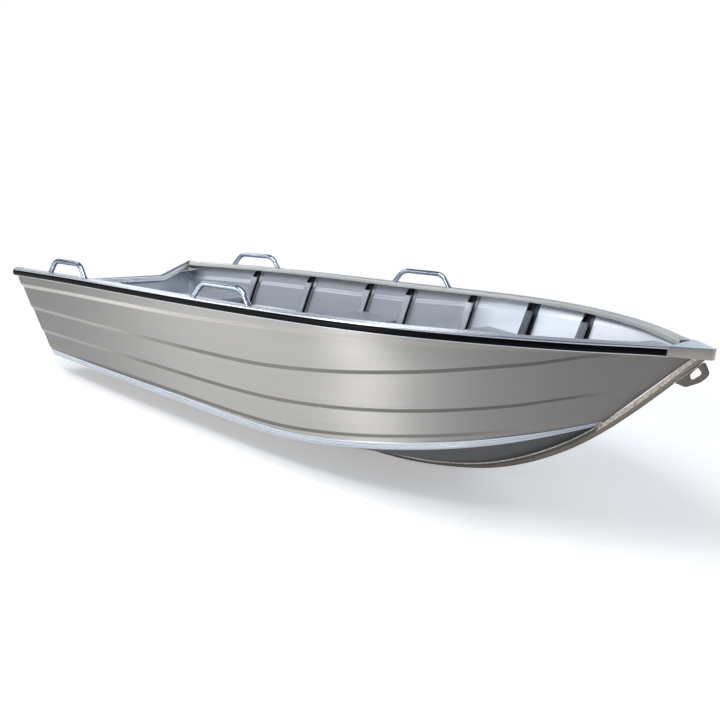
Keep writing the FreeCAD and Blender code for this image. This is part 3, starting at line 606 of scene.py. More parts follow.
# painted reflection on each ledge, against the plank beside it, at places along the hull
ledgePaintedReflection = [
    [(0.0, 1.90), (0.8, 1.80), (1.4, 1.30), (2.0, 1.12)],
    [(0.0, 1.35), (0.75, 1.12), (1.05, 0.75), (1.4, 0.50), (2.0, 0.56), (2.4, 0.44), (2.8, 0.5)],
    [(0.0, 1.30), (0.6, 1.05), (0.95, 0.60), (1.3, 0.46), (2.0, 0.52), (2.4, 0.44), (2.8, 0.5)],
    [(0.0, 1.15), (0.5, 0.70), (1.0, 0.50), (2.0, 0.45), (2.6, 0.60)],
]
# painted reflection inside the same way: brightness along the hull, how much brighter a ledge is, and where
# that ends
insidePaintedReflection = {"along": ((1.88, 0.64), (2.0, 0.96), (2.12, 1.34), (2.35, 1.24), (2.6, 1.10)),
               "ledge": 1.75, "ledgeFades": (0.70, 0.80), "most": 1.35}


def insidePaintedLevel(x):
    # painted reflection on the inside, at a place along the hull
    return np.interp(x, *np.array(insidePaintedReflection["along"]).T)


def paintedSideLight():
    # Painted reflection: the plate is brightest amidships; each ledge starts bright at the stern, darkens and
    # fades forward.
    x = outerSide[..., 0]
    base = paintedSheen["stern"] + (paintedSheen["middle"] - paintedSheen["stern"]) * blend(x, 0.0, paintedSheen["risesTo"])
    base = base + (paintedSheen["bow"] - paintedSheen["middle"]) * blend(x, *paintedSheen["falls"])
    tones = base.copy()
    inside = insidePaintedLevel(x)
    ledgeInside = 1 + (insidePaintedReflection["ledge"] - 1) * (1 - blend(stations, *insidePaintedReflection["ledgeFades"])[:, None])
    for k, ((first, last), places) in enumerate(zip(ledgeBands, ledgePaintedReflection)):
        part = slice(first, last + 2)
        left = 1 - blend(stations, ledges[k][1], ledges[k][2])[:, None]
        level = np.interp(x[:, part], *np.array(places).T)
        tones[:, part] = base[:, part] * (1 + (level - 1) * left)
        inside[:, part] *= ledgeInside
    return tones, np.minimum(inside, insidePaintedReflection["most"])


tones, insideTone = paintedSideLight()
for word, tail, mirror in bothSides:
    piece = shell("sidePlate" + word, rowFrame(outerSide, mirror), rowFrame(innerSide, mirror),
                  [brushedSide, insidePaintedSky, pressedLedge], innerSlot=1, bandSlots=bandSlots)
    setPaintedLight(piece, np.concatenate([tones.ravel(), insideTone.ravel()]))
    finishPiece(piece, "hull", "side" + tail)

# Bottom plates: from just inside the side's lower edge to the keel, a little short of the stem
bottom = {"reach": 0.997, "gap": 0.0004, "across": 9}
bottomT = np.repeat((stations * bottom["reach"])[:, None], bottom["across"], 1)
bottomWide = size(lowLine(bottomT[:, 0]) - keelLine(bottomT[:, 0]))
edgeShare = (hull["bottomPlate"] + bottom["gap"]) / bottomWide
bottomS = edgeShare + (1 - edgeShare) * np.linspace(0, 1, bottom["across"])[None, :]
outerBottom = bottomBase(bottomT, bottomS)
innerBottom = outerBottom - bottomOut(bottomT, bottomS) * hull["bottomPlate"]
for word, tail, mirror in bothSides:
    piece = shell("bottomPlate" + word, rowFrame(outerBottom, mirror), rowFrame(innerBottom, mirror),
                  [dullAndShadedBottom, troddenSheet], innerSlot=1)
    # the inside of the bottom takes the same painted reflection
    inside = insidePaintedLevel(outerBottom[..., 0])
    setPaintedLight(piece, np.concatenate([inside.ravel(), inside.ravel()]))
    finishPiece(piece, "hull", "bottom" + tail)
print("plates made")

# Chine strips: an angle over the corner of side and bottom, with two grooves along its upright leg
chine = {"leg": 0.034, "foot": 0.024, "round": 0.0022, "cornerRound": 0.004, "end": 0.9985,
         "grooves": ((0.30, 0.0018), (0.66, 0.0042)), "grooveDepth": 0.0018, "grooveFlank": 0.0013,
         "thinsFrom": 0.9, "legLoss": 0.25, "footLoss": 0.55}


def chineSections(t):
    sideN = sideOut(t, np.full_like(t, 0.98))
    bottomN = bottomOut(t, np.full_like(t, 0.05))
    corner = lowLine(t)
    up = topLine(t) - corner
    up = unit(up - sideN * (up * sideN).sum(-1, keepdims=True))
    foot = keelLine(t) - corner
    foot = unit(foot - bottomN * (foot * bottomN).sum(-1, keepdims=True))
    lie = sideCorners(t)[1][:, -1:]
    both = (sideN * bottomN).sum(-1, keepdims=True)

    def meet(a, b):
        alpha = (a - both * b) / (1 - both * both)
        beta = (b - both * a) / (1 - both * both)
        return corner + sideN * alpha + bottomN * beta

    thick = hull["chinePlate"]
    fade = blend(t, chine["thinsFrom"], 1.0)[:, None]
    leg = chine["leg"] * (1 - chine["legLoss"] * fade)
    foot = foot * chine["foot"] * (1 - chine["footLoss"] * fade)
    low = meet(lie + thick, thick)
    high = corner + up * leg + sideN * (lie + thick)
    rows = [high]
    flank = chine["grooveFlank"]
    for share, wide in chine["grooves"]:
        for across, dip in ((-wide / 2 - flank, 0), (-wide / 2, 1), (wide / 2, 1), (wide / 2 + flank, 0)):
            place = high + (low - high) * share + unit(low - high) * across
            rows.append(place - sideN * dip * chine["grooveDepth"])
    rows += [low, corner + foot + bottomN * thick, corner + foot, meet(lie, 0 * lie),
             corner + up * leg + sideN * lie]
    return np.stack(rows, 1)


chineRadii = [chine["round"]] + [0] * 8 + [chine["cornerRound"], chine["round"], 0, 0, 0]
chineLoops = roundLoop(chineSections(stations * chine["end"]), chineRadii)
for word, tail, mirror in bothSides:
    piece = loft("chineStrip" + word, rowFrame(chineLoops, mirror), [extrudedTrim])
    finishPiece(piece, "trim", "chine" + tail)


# Gunwale: extruded rail with drawn grooves on its top; fender: rubber strip in the rail's outer channel
def sheerPoint(x, outward, drop):
    slope = (sheerHalf(x + 0.001) - sheerHalf(x - 0.001)) / 0.002
    long = np.hypot(1, slope)
    return stack(x - outward * slope / long, sheerHalf(x) + outward / long, sheerTop(x) + drop)


gunwale = {
    "inset": 0.003, "width": 0.067, "lip": 0.024, "wall": 0.003, "depth": 0.039, "flangeIn": 0.005,
    "grooves": (0.0125, 0.0205, 0.0285, 0.0365, 0.0445, 0.0525, 0.0605), "grooveWidth": 0.0024,
    "grooveDepth": 0.0013, "outerRound": 0.004, "innerRound": 0.0045, "pastTransom": 0.015,
    "capLength": 0.132, "capOverlap": 0.005, "stations": 190, "endSteps": 25,
}
fender = {"drop": 0.009, "height": 0.027, "gap": 0.002, "endRise": 0.0095, "endTurn": 172,
          "face": 0.0004, "shoulder": 0.0045, "shoulderDrop": 0.006}
sternEnd = float(transomAt(sheerTop(topStart))) - gunwale["pastTransom"]
capStart = noseX - gunwale["capLength"]
endRadius = (gunwale["inset"] + gunwale["width"]) / 2
endX = sternEnd + endRadius
railX = np.linspace(endX, capStart + gunwale["capOverlap"], gunwale["stations"])


def railLoops(xs, outline):
    return np.stack([sheerPoint(xs, o, d) for o, d in outline], 1)


def grooveOutline(edge, depth, wide):
    # Four points across one groove, seen from its outer edge inward.
    return [(-edge, 0), (-edge - wide * 0.3, -depth), (-edge - wide * 0.7, -depth), (-edge - wide, 0)]


inner = gunwale["inset"] + gunwale["width"]
channel, wall, flange = -hull["fenderDepth"], gunwale["wall"], -gunwale["flangeIn"]
seatDrop, underDrop = -fender["drop"], -fender["drop"] - fender["height"]
railOutline = [(-gunwale["inset"], -0.0001)]
railRadii = [gunwale["outerRound"]]
for place in gunwale["grooves"]:
    railOutline += grooveOutline(place, gunwale["grooveDepth"], gunwale["grooveWidth"])
    railRadii += [0.0007] * 4
railOutline += [(-inner, 0), (-inner, -gunwale["lip"]), (-inner + wall, -gunwale["lip"]),
                (-inner + wall, -wall), (channel - wall, -wall), (channel - wall, -gunwale["depth"]),
                (flange, -gunwale["depth"]), (flange, underDrop), (channel, underDrop), (channel, seatDrop),
                (-gunwale["inset"], seatDrop)]
railRadii += [gunwale["innerRound"], 0.001, 0.001, 0.0015, 0.0015, 0.001, 0.0012, 0, 0, 0, 0.001]
gunwaleLoops = roundLoop(railLoops(railX, railOutline), railRadii, steps=3)
fenderX = np.linspace(endX, capStart - fender["gap"], gunwale["stations"])
face, shoulder, soft = -fender["face"], -fender["shoulder"], fender["shoulderDrop"]
fenderOutline = [(channel, seatDrop), (shoulder, seatDrop), (face, seatDrop - soft),
                 (face, underDrop + soft), (shoulder, underDrop), (channel, underDrop)]
fenderRadii = [0, 0.003, 0.005, 0.005, 0.003, 0]
fenderLoops = roundLoop(railLoops(fenderX, fenderOutline), fenderRadii, steps=4)


def endSections(outline, angles):
    # Sections carried round the rail's half-round stern end, each looking out from its centre.
    centre = sheerPoint(np.array([endX]), -endRadius, 0)[0]
    outward = unit(sheerPoint(np.array([endX]), 0.01, 0)[0] - sheerPoint(np.array([endX]), -0.01, 0)[0])
    outward[2] = 0
    aft = np.array([-outward[1], outward[0], 0])
    rows = []
    for angle in angles:
        d = outward * math.cos(angle) + aft * math.sin(angle)
        rows.append([centre + d * (endRadius + o) + (0, 0, drop) for o, drop in outline])
    return np.array(rows)


turn = np.radians(np.linspace(0, fender["endTurn"], gunwale["endSteps"]))
endRows = endSections(fenderOutline, turn)
endRows[:, :3, 2] += fender["endRise"] * blend(turn, 0.0, 1.2)[:, None]
fenderEnd = roundLoop(endRows, fenderRadii, steps=4)
fenderLoops = np.concatenate([fenderEnd[:0:-1], fenderLoops])
plateOutline = [(-endRadius + 0.0006, 0), (-gunwale["inset"], 0), (-gunwale["inset"], seatDrop),
                (-gunwale["inset"] - wall, seatDrop), (-gunwale["inset"] - wall, -wall),
                (-endRadius + 0.0006, -wall)]
halfTurn = np.radians(np.linspace(0, 180, gunwale["endSteps"]))
endPlate = roundLoop(endSections(plateOutline, halfTurn), [0, gunwale["outerRound"], 0, 0, 0, 0], steps=3)
# every rounded corner has four points, and the lip's face comes right after the last groove
lipFirst = 4 * 4 * len(gunwale["grooves"]) + 4
railSlots = [1 if lipFirst <= j < lipFirst + 4 else 0 for j in range(gunwaleLoops.shape[1])]
for word, tail, mirror in bothSides:
    piece = loft("gunwaleRail" + word, rowFrame(gunwaleLoops, mirror), [extrudedTrim, rubbedLip],
                 crease=40, bandSlots=railSlots)
    finishPiece(piece, "trim", "gunwale" + tail)
    piece = loft("gunwaleEnd" + word, rowFrame(endPlate, mirror), [extrudedTrim], crease=40)
    finishPiece(piece, "trim")
    piece = loft("fenderStrip" + word, rowFrame(fenderLoops, mirror), [fenderRubber], crease=50)
    finishPiece(piece, "fender", "fender" + tail)

# Keel and stem: one flat bar that narrows where it turns up, with painted shade on its front line and inner
# half
bars = {"join": 2.6, "taper": 0.26, "round": 0.0022, "split": 0.52, "pastTop": 0.006,
        "keelStations": 90, "stemStations": 80}


def barLoops(start, end, half, n):
    x = np.linspace(start, end, n)
    w = half(x)
    backX, backZ = barPoint(x, barDepth(x))
    midX, midZ = barPoint(x, barDepth(x) * bars["split"])
    z = profileHeight(x)
    return np.stack([stack(x, -w, z), stack(x, w, z), stack(midX, w, midZ), stack(backX, w, backZ),
                     stack(backX, -w, backZ), stack(midX, -w, midZ)], 1)


def keelHalf(x):
    narrow = blend(x, bars["join"] - bars["taper"], bars["join"])
    return hull["keelHalf"] * (1 - narrow) + hull["stemHalf"] * narrow


barRadii = [bars["round"]] * 2 + [0] * 4
keelLoops = roundLoop(barLoops(float(transomAt(0)), bars["join"], keelHalf, bars["keelStations"]), barRadii)
stemLoops = barLoops(bars["join"], topStem + bars["pastTop"], keelHalf, bars["stemStations"])
stemLoops = roundLoop(stemLoops, barRadii)
# painted shade: the front line and the inner half of each side take the bottom's shaded finish
barSlots = [0] * keelLoops.shape[1]
barSlots[-4:] = [1, 0, 1, 0]
barSlots[:9] = [1] * 9
for name, loops, node in (("keelBar", keelLoops, "keel"), ("stemBar", stemLoops, "stem")):
    finishPiece(loft(name, rowFrame(loops), [flatBar, dullAndShadedBottom], bandSlots=barSlots), "hull", node)
print("rails and bars made")

# Transom capping: the rail's little brother, an inverted channel with ribbed faces, mitred at its bends
capping = {"rail": 0.036, "depth": 0.026, "wall": 0.003, "top": 0.003, "cornerIn": 0.052, "cornerDrop": 0.014,
           "level": 0.483, "half": 0.385, "ribs": 3, "rib": 0.0011, "ribHalf": 0.002, "leanTop": 0.5515,
           "overRail": 0.027, "edgeRound": 0.003, "ribRound": 0.0008}
plateThick = hull["transomPlate"] / math.cos(math.radians(hull["rakeDegrees"]))
cornerTop = sideSection(np.array([0.0]))[0, 0]
bendY = cornerTop[1] - capping["cornerIn"]
bendZ = float(sheerTop(topStart)) - capping["cornerDrop"]


def cappingOutline():
    # Closed outline of the channel: place across the transom's plate, and height over its edge.
    half, top, drop, wall = capping["rail"] / 2, capping["top"], capping["depth"], capping["wall"]
    rib, ribHalf, ribs = capping["rib"], capping["ribHalf"], capping["ribs"]
    out = [(-half, top)]
    for k in range(ribs):
        mid = -half + capping["rail"] * (k + 1) / (ribs + 1)
        out += [(mid - ribHalf, top), (mid, top - rib), (mid + ribHalf, top)]
    out.append((half, top))
    for k in range(ribs):
        low = top - (drop + top) * (k + 1) / (ribs + 1)
        out += [(half, low + ribHalf), (half - rib, low), (half, low - ribHalf)]
    out += [(half, -drop), (half - wall, -drop), (half - wall, 0),
            (-half + wall, 0), (-half + wall, -drop), (-half, -drop)]
    return out


def cappingSection(y, z):
    mid = float(transomAt(min(z, capping["leanTop"]))) - plateThick / 2
    return np.array([(mid + o - rake * d, y, z + d) for o, d in cappingOutline()])


endY = bendY + capping["overRail"]
endZ = bendZ + (endY - bendY) * (bendZ - capping["level"]) / (bendY - capping["half"])
cappingStops = [(-endY, endZ), (-capping["half"], capping["level"]), (capping["half"], capping["level"]),
                (endY, endZ)]
cappingLoops = np.stack([cappingSection(*stop) for stop in cappingStops])
ribbed = [capping["edgeRound"]] + [capping["ribRound"]] * 3 * capping["ribs"]
cappingRadii = ribbed * 2 + [capping["ribRound"]] * 2 + [0] * 2 + [capping["ribRound"]] * 2
cappingLoops = roundLoop(cappingLoops, cappingRadii, steps=2)
finishPiece(loft("transomCapping", rowFrame(cappingLoops), [extrudedTrim]), "trim", "transom_capping")


# Frames: open channels with a ribbed crown, standing on a wide foot and open toward the bow
frames = {"stations": (0.414, 0.833, 1.263, 1.549, 1.953, 2.329, 2.696), "width": 0.042, "depth": 0.025,
          "floor": 0.036, "wall": 0.0025, "top": 0.066, "flankTop": 0.014, "bend": 0.05, "foot": 0.018,
          "ribs": 3, "ribDepth": 0.0016, "ribFoot": 0.0032, "ribCrest": 0.0012, "lip": 0.012, "shadedFrom": 2.2}


def sideSectionCorner(k, t):
    shares, steps, long = sideCorners(t)
    s = shares[:, k]
    return sideBase(t, s) + sideOut(t, s) * (steps[:, k:k + 1] - hull["sidePlate"])


fineStations = np.linspace(0, 1, 500)
sideLines = [sideSectionCorner(k, fineStations) for k in range(10)]


def sideAt(x):
    # The bends of the side's inner face at a given x, from the rail down.
    return [np.array([np.interp(x, line[:, 0], line[:, axis]) for axis in (1, 2)]) for line in sideLines]


def bottomInner(x, share):
    t = fineStations * 0.985
    s = np.full_like(t, share) if share > 0 else 0.0029 / size(lowLine(t) - keelLine(t))[..., 0]
    line = bottomBase(t, s) - bottomOut(t, s) * hull["bottomPlate"]
    return np.interp(x, line[:, 0], line[:, 1]), np.interp(x, line[:, 0], line[:, 2])


def footLine(x, kept):
    # Line down the side's inner face and along the bottom to the keel, with a fixed count of points.
    pts = sideAt(x)
    start = float(sheerTop(x)) - frames["flankTop"]
    heights = [p[1] for p in pts][::-1]
    first = np.array([np.interp(start, heights, [p[0] for p in pts][::-1]), start])
    side = [first] + [pts[k] for k in kept]
    chineIn = np.array(bottomInner(x, 0))
    keelIn = np.array(bottomInner(x, 1.0))
    side[-1] = np.array([min(side[-1][0], chineIn[0] + 0.003), side[-1][1] + 0.0025])
    line = side + [side[-1] + (chineIn - side[-1]) * w for w in (0.25, 0.5, 0.75, 1.0)]
    line += [chineIn + (keelIn - chineIn) * w for w in (0.35, 0.7, 1.0)]
    line[-1] = np.array([0.0, line[-1][1]])
    return np.array(line), len(side)


def crownLine(x, foot, sideCount):
    # The crown runs beside the plates, with a bend over the chine.
    side = foot[:sideCount]
    chineIn, keelIn = foot[sideCount + 3], np.array(bottomInner(x, 1.0))

    def off(a, b, by):
        d = (b - a) / np.linalg.norm(b - a)
        away = np.array([d[1], -d[0]]) * by
        return a + away, b + away

    a, b = off(side[0], side[-1], frames["depth"] + hull["ledgeDepth"] / 2)
    c, d = off(chineIn, keelIn, frames["floor"])
    cross = np.linalg.solve(np.array([b - a, c - d]).T, c - a)
    corner = a + (b - a) * cross[0]
    middle = c + (d - c) * (0 - c[0]) / (d[0] - c[0])
    high = float(sheerTop(x)) - frames["top"]
    head = a + (b - a) * (high - a[1]) / (b[1] - a[1])
    trim = frames["bend"]
    upper = corner + (head - corner) * trim / np.linalg.norm(head - corner)
    lower = corner + (middle - corner) * trim / np.linalg.norm(middle - corner)
    far = size(side - side[0])[:, 0] / np.linalg.norm(side[-1] - side[0])
    crown = [head + (upper - head) * share for share in far]
    crown += [(1 - w) ** 2 * upper + 2 * w * (1 - w) * corner + w * w * lower for w in (0.25, 0.5, 0.75, 1.0)]
    crown += [lower + (middle - lower) * w for w in (0.35, 0.7, 1.0)]
    return np.array(crown)


def channelOutline():
    # Closed outline of the channel: place along the boat, the line it starts from, and distance from it.
    half, wall, foot = frames["width"] / 2, frames["wall"], frames["foot"]
    low, high, dip = frames["ribFoot"], frames["ribCrest"], -frames["ribDepth"]
    out = [(-half - foot, "foot", 0), (-half - foot, "foot", wall), (-half, "foot", wall),
           (-half, "crown", 0)]
    for k in range(frames["ribs"]):
        mid = -half + frames["width"] * (k + 1) / (frames["ribs"] + 1)
        out += [(mid - low, "crown", 0), (mid - high, "crown", dip), (mid + high, "crown", dip),
                (mid + low, "crown", 0)]
    out += [(half, "crown", 0), (half, "crown", -frames["lip"]), (half - wall, "crown", -frames["lip"])]
    # from here to the foot's inner edge the faces inside the channel take the painted shade of the hollow
    dark = len(out) - 1
    out += [(half - wall, "crown", -wall), (-half + wall, "crown", -wall), (-half + wall, "foot", wall),
            (half - 0.004, "foot", wall)]
    light = len(out) - 1
    out += [(half + foot, "foot", wall), (half + foot, "foot", 0)]
    return out, [1 if dark <= j < light else 0 for j in range(len(out))]


def frameLoops(x):
    half, foot = frames["width"] / 2, frames["foot"]
    kept = [k for k, p in enumerate(sideAt(x)) if p[1] < float(sheerTop(x)) - frames["flankTop"] - 0.004]
    places = [-half - foot, -half, 0.0, half, half + foot]
    lines = [footLine(x + place, kept) for place in places]
    crown = crownLine(x, lines[2][0], lines[2][1])
    outline, slots = channelOutline()
    loops = []
    for i in range(len(crown)):
        feet = np.array([line[0][i] for line in lines])
        row = []
        for place, start, lift in outline:
            base = np.array([np.interp(place, places, feet[:, 0]), np.interp(place, places, feet[:, 1])])
            d = unit(crown[i] - base)
            q = (base if start == "foot" else crown[i]) + d * lift
            row.append((x + place, q[0], q[1]))
        loops.append(row)
    loops = np.array(loops)
    return np.concatenate([loops, (loops * (1, -1, 1))[-2::-1]]), slots


for n, x in enumerate(frames["stations"]):
    loops, slots = frameLoops(x)
    name = "extrudedFrame%d" % (n + 1)
    # frames from this place to the bow take the painted shade
    crown = frameSheet if x < frames["shadedFrom"] else shadedBowFrame
    piece = loft(name, rowFrame(loops), [crown, frameHollow], crease=28, bandSlots=slots)
    finishPiece(piece, "hull", "frame_%d" % (n + 1))
print("frames made")


# Seats: folded sheet between the sides with turned down edges
def innerHalf(x, level):
    pts = sideAt(x)
    for a, b in zip(pts, pts[1:]):
        if a[1] > level >= b[1]:
            return a[0] + (b[0] - a[0]) * (a[1] - level) / (a[1] - b[1])
    return pts[-1][0]


seats = {  # start, end and height of each
    "aft": (0.170, 0.400, 0.432), "middle": (1.256, 1.528, 0.512), "bow": (2.092, 2.460, 0.592),
    "edge": 0.024, "bend": 0.004, "sheet": 0.002, "setBack": 0.016,
}


def seatTop(name, start, end, top):
    edge = seats["edge"]
    outline = np.array([[(start, 0, top - edge), (start, 0, top), (end, 0, top), (end, 0, top - edge)]])
    curve = roundLoop(outline, seats["bend"], steps=4, closed=False)[0]
    extra = []
    for a, b in zip(curve, curve[1:]):
        extra.append(a)
        if np.linalg.norm(b - a) > 0.05:
            extra += [a + (b - a) * w for w in np.linspace(0, 1, 9)[1:-1]]
    curve = np.array(extra + [curve[-1]])
    tangent = np.gradient(curve, axis=0)
    tangent /= np.linalg.norm(tangent, axis=1, keepdims=True)
    inwards = np.stack([tangent[:, 2], 0 * tangent[:, 0], -tangent[:, 0]], 1) * seats["sheet"]
    lower = curve + inwards
    share = np.linspace(-1, 1, 13)
    halves = [innerHalf(p[0], p[2] - 0.001) - 0.0004 for p in curve]
    outer = np.array([[(p[0], w * h, p[2]) for w in share] for p, h in zip(curve, halves)])
    under = np.array([[(q[0], w * h, q[2]) for w in share] for q, h in zip(lower, halves)])
    piece = shell(name, rowFrame(outer), rowFrame(under), [seatSheet, transomPlate], crease=30)
    middle = (start + end) / 2 - shift
    for face in piece.data.polygons:
        if abs(face.center.x - middle) > (end - start) / 2 - seats["bend"]:
            face.material_index = 1
    return piece


def seatPanel(name, x, top):
    # Upright panel under a seat, cut to the sides and the bottom.
    levels = np.linspace(top - 0.003, float(bottomInner(x, 0)[1]) + 0.004, 12)
    half = [(innerHalf(x, level) - 0.001, level) for level in levels]
    half += [bottomInner(x, 0), bottomInner(x, 1.0)]
    ring = half + [(-y, z) for y, z in half[::-1]]
    count = len(ring)
    points = [(x + d, y, z) for d in (-seats["sheet"] / 2, seats["sheet"] / 2) for y, z in ring]
    faces = [tuple(range(count)), tuple(range(2 * count - 1, count - 1, -1))]
    for i in range(count):
        k = (i + 1) % count
        faces.append((i, count + i, count + k, k))
    return makePiece(name, rowFrame(points), faces, [transomPlate])


for key, node in (("aft", "seat_aft"), ("middle", "seat_middle"), ("bow", "seat_bow")):
    start, end, top = seats[key]
    finishPiece(seatTop(key + "SeatTop", start, end, top), "seats", node)
    finishPiece(seatPanel(key + "SeatBack", start + seats["setBack"], top), "seats")
    finishPiece(seatPanel(key + "SeatFront", end - seats["setBack"], top), "seats")
print("seats made")

# Bow cap: folded plate over the ends of the rails, blunt at the nose
cap = {"skirt": 0.041, "noseDrop": 0.001, "top": 0.0033, "nose": 0.013, "noseRound": 0.010,
       "edgeRound": 0.004, "plate": 0.003, "rearCorner": 0.004, "overRail": 0.001}


def capPiece():
    rearHalf = float(sheerPoint(capStart, 0, 0)[1]) + cap["overRail"]
    noseHalf = cap["nose"] + cap["overRail"]
    plan = np.array([[(capStart, -rearHalf, 0), (noseX, -noseHalf, 0), (noseX, noseHalf, 0),
                      (capStart, rearHalf, 0)]])
    outline = roundLoop(plan, cap["noseRound"], steps=6, closed=False)[0, :, :2]
    tangent = np.gradient(outline, axis=0)
    tangent /= np.linalg.norm(tangent, axis=1, keepdims=True)
    inwards = np.stack([-tangent[:, 1], tangent[:, 0]], 1)
    inwards[0] = inwards[1]
    inwards[-1] = inwards[-2]

    def grid(offset, topDrop):
        r = cap["edgeRound"]
        rows = []
        for p, d in zip(outline, inwards):
            top = float(sheerTop(p[0])) + cap["top"] - topDrop
            share = (p[0] - capStart) / gunwale["capLength"]
            low = float(sheerTop(p[0])) - cap["skirt"] - cap["noseDrop"] * share
            rise = cap["rearCorner"] * max(0.0, 1 - (p[0] - capStart) / cap["rearCorner"]) ** 2
            q = p + d * offset
            column = [(q[0], q[1], low + rise), (q[0], q[1], top - r)]
            for w in (0.25, 0.5, 0.75, 1.0):
                a = w * math.pi / 2
                shiftIn = d * r * (1 - math.cos(a))
                column.append((q[0] + shiftIn[0], q[1] + shiftIn[1], top - r + r * math.sin(a)))
            rows.append(column)
        return np.array(rows)

    n = len(outline)
    m = 6
    grids = [grid(0.0, 0.0), grid(cap["plate"], cap["plate"])]
    points = np.concatenate([g.reshape(-1, 3) for g in grids])
    faces = []
    for g in range(2):
        base = g * n * m
        for i in range(n - 1):
            for j in range(m - 1):
                a = base + i * m + j
                faces.append((a, a + m, a + m + 1, a + 1))
        faces.append([base + i * m + m - 1 for i in range(n)])
    off = n * m
    for i in range(n - 1):
        faces.append((i * m, (i + 1) * m, off + (i + 1) * m, off + i * m))
    rim = list(range(m)) + [(n - 1) * m + j for j in range(m - 1, -1, -1)]
    for a, b in zip(rim, rim[1:]):
        faces.append((a, b, off + b, off + a))
    piece = makePiece("bowCap", rowFrame(points), faces, [foldedPlate, capTopPaintedSky], crease=40)
    for face in piece.data.polygons:
        # the flat top and the upper half of its round take the painted sky reflection
        face.material_index = 1 if face.normal.z > 0.6 else 0  # the flat top and the upper half of its round
    return piece


finishPiece(capPiece(), "trim", "bow_cap")

# Bow eye: thick plate with a rounded triangular hole
eye = {
    "outline": ((3.371, 0.681), (3.383, 0.692), (3.423, 0.684), (3.476, 0.716),
                (3.499, 0.743), (3.503, 0.760), (3.478, 0.800), (3.440, 0.765)),
    "window": ((3.456, 0.773), (3.473, 0.758), (3.474, 0.748),
               (3.446, 0.721), (3.436, 0.720), (3.429, 0.735)),
    "foot": ((3.376, 0.690), (3.425, 0.742), (3.470, 0.792)),  # where it is welded to the stem
    "half": 0.005, "round": 0.0022, "outlineRound": 0.012, "windowRound": 0.009,
}


def ringOf(corners, radius):
    # Outline of a plate with its corners rounded.
    flat = np.array([[(a, 0.0, b) for a, b in corners]])
    return roundLoop(flat, radius, steps=5)[0][:, (0, 2)]


def holedPlate(name, outline, window, half, edge, place, material):
    # Flat plate between an outline and a hole, both seen from the hole's centre.
    centre = window.mean(0)

    def reach(polygon, angle):
        d = np.array([math.cos(angle), math.sin(angle)])
        best = 0.0
        for a, b in zip(polygon, np.roll(polygon, -1, 0)):
            e = b - a
            det = d[0] * -e[1] + d[1] * e[0]
            if abs(det) < 1e-12:
                continue
            r = a - centre
            dist = (r[0] * -e[1] + r[1] * e[0]) / det
            u = (d[0] * r[1] - d[1] * r[0]) / det
            if dist > 0 and -1e-6 <= u <= 1 + 1e-6:
                best = max(best, dist)
        return centre + d * best

    loops = []
    for angle in np.linspace(0, 2 * math.pi, 97)[:-1]:
        o, w = reach(outline, angle), reach(window, angle)
        loops.append([place(o, half), place(w, half), place(w, -half), place(o, -half)])
    loops = roundLoop(np.array(loops), edge, steps=3)
    n, m = loops.shape[:2]
    faces = []
    for i in range(n):
        k = (i + 1) % n
        for j in range(m):
            q = (j + 1) % m
            faces.append((i * m + j, k * m + j, k * m + q, i * m + q))
    return makePiece(name, rowFrame(loops.reshape(-1, 3)), faces, [material], crease=40)


eyeRing = ringOf(eye["outline"], eye["outlineRound"])
eyeWindow = ringOf(eye["window"], eye["windowRound"])
eyePlate = holedPlate("bowEye", eyeRing, eyeWindow, eye["half"], eye["round"],
                      lambda p, h: (p[0], h, p[1]), tumbledPlate)
finishPiece(eyePlate, "hull", "bow_eye")

# Quarter knees: small plates in the stern corners that lie in the slope of the capping
knee = {"side": 0.115, "transom": 0.105, "under": 0.018, "drop": 0.040, "half": 0.0015, "edge": 0.0006,
        "corner": (0.003, 0.002), "flare": 0.006,  # off the transom, past the bend, and out along the side
        # shape and hole as shares of the two legs
        "shape": ((0, 0), (1, 0), (0.86, 0.10), (0.10, 0.86), (0, 1)), "shapeRound": 0.06,
        "hole": (0.27, 0.27), "holeRadius": (0.085, 0.095)}
kneeZ = bendZ - knee["under"]
kneeHigh = np.array([float(transomAt(kneeZ)) + knee["corner"][0], bendY + knee["corner"][1], kneeZ])
alongSide = np.array([knee["side"], knee["flare"], 0.0])
alongTransom = np.array([knee["drop"] * rake, -knee["transom"], -knee["drop"]])
kneeUp = unit(np.cross(alongSide, alongTransom))
kneeRing = ringOf(knee["shape"], knee["shapeRound"])
kneeHole = np.array([(knee["hole"][0] + knee["holeRadius"][0] * math.cos(a),
                      knee["hole"][1] + knee["holeRadius"][1] * math.sin(a))
                     for a in np.linspace(0, 2 * math.pi, 33)[:-1]])
for word, tail, mirror in bothSides:
    piece = holedPlate("quarterKnee" + word, kneeRing, kneeHole, knee["half"], knee["edge"],
                       lambda p, h: (kneeHigh + alongSide * p[0] + alongTransom * p[1] + kneeUp * h)
                       * (1, mirror, 1), foldedPlate)
    finishPiece(piece, "hull", "knee" + tail)


def softCopy(node, name, slotName, material, edge):
    # Merged copy of a plain node with its sharp edges rounded.
    work = bmesh.new()
    work.from_mesh(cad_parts[node].data)
    bmesh.ops.remove_doubles(work, verts=work.verts, dist=0.00002)
    bmesh.ops.dissolve_limit(work, angle_limit=math.radians(1), verts=work.verts, edges=work.edges)
    sharp = [e for e in work.edges if len(e.link_faces) == 2 and e.calc_face_angle(0.0) > math.radians(35)]
    bmesh.ops.bevel(work, geom=sharp, offset=edge, segments=3, affect="EDGES", profile=0.5,
                    clamp_overlap=True)
    bmesh.ops.recalc_face_normals(work, faces=work.faces)
    creaseSharp(work, 32)
    mesh = bpy.data.meshes.new(name)
    work.to_mesh(mesh)
    work.free()
    mesh.materials.append(material)
    return finishPiece(addObject(name, mesh), slotName, node)


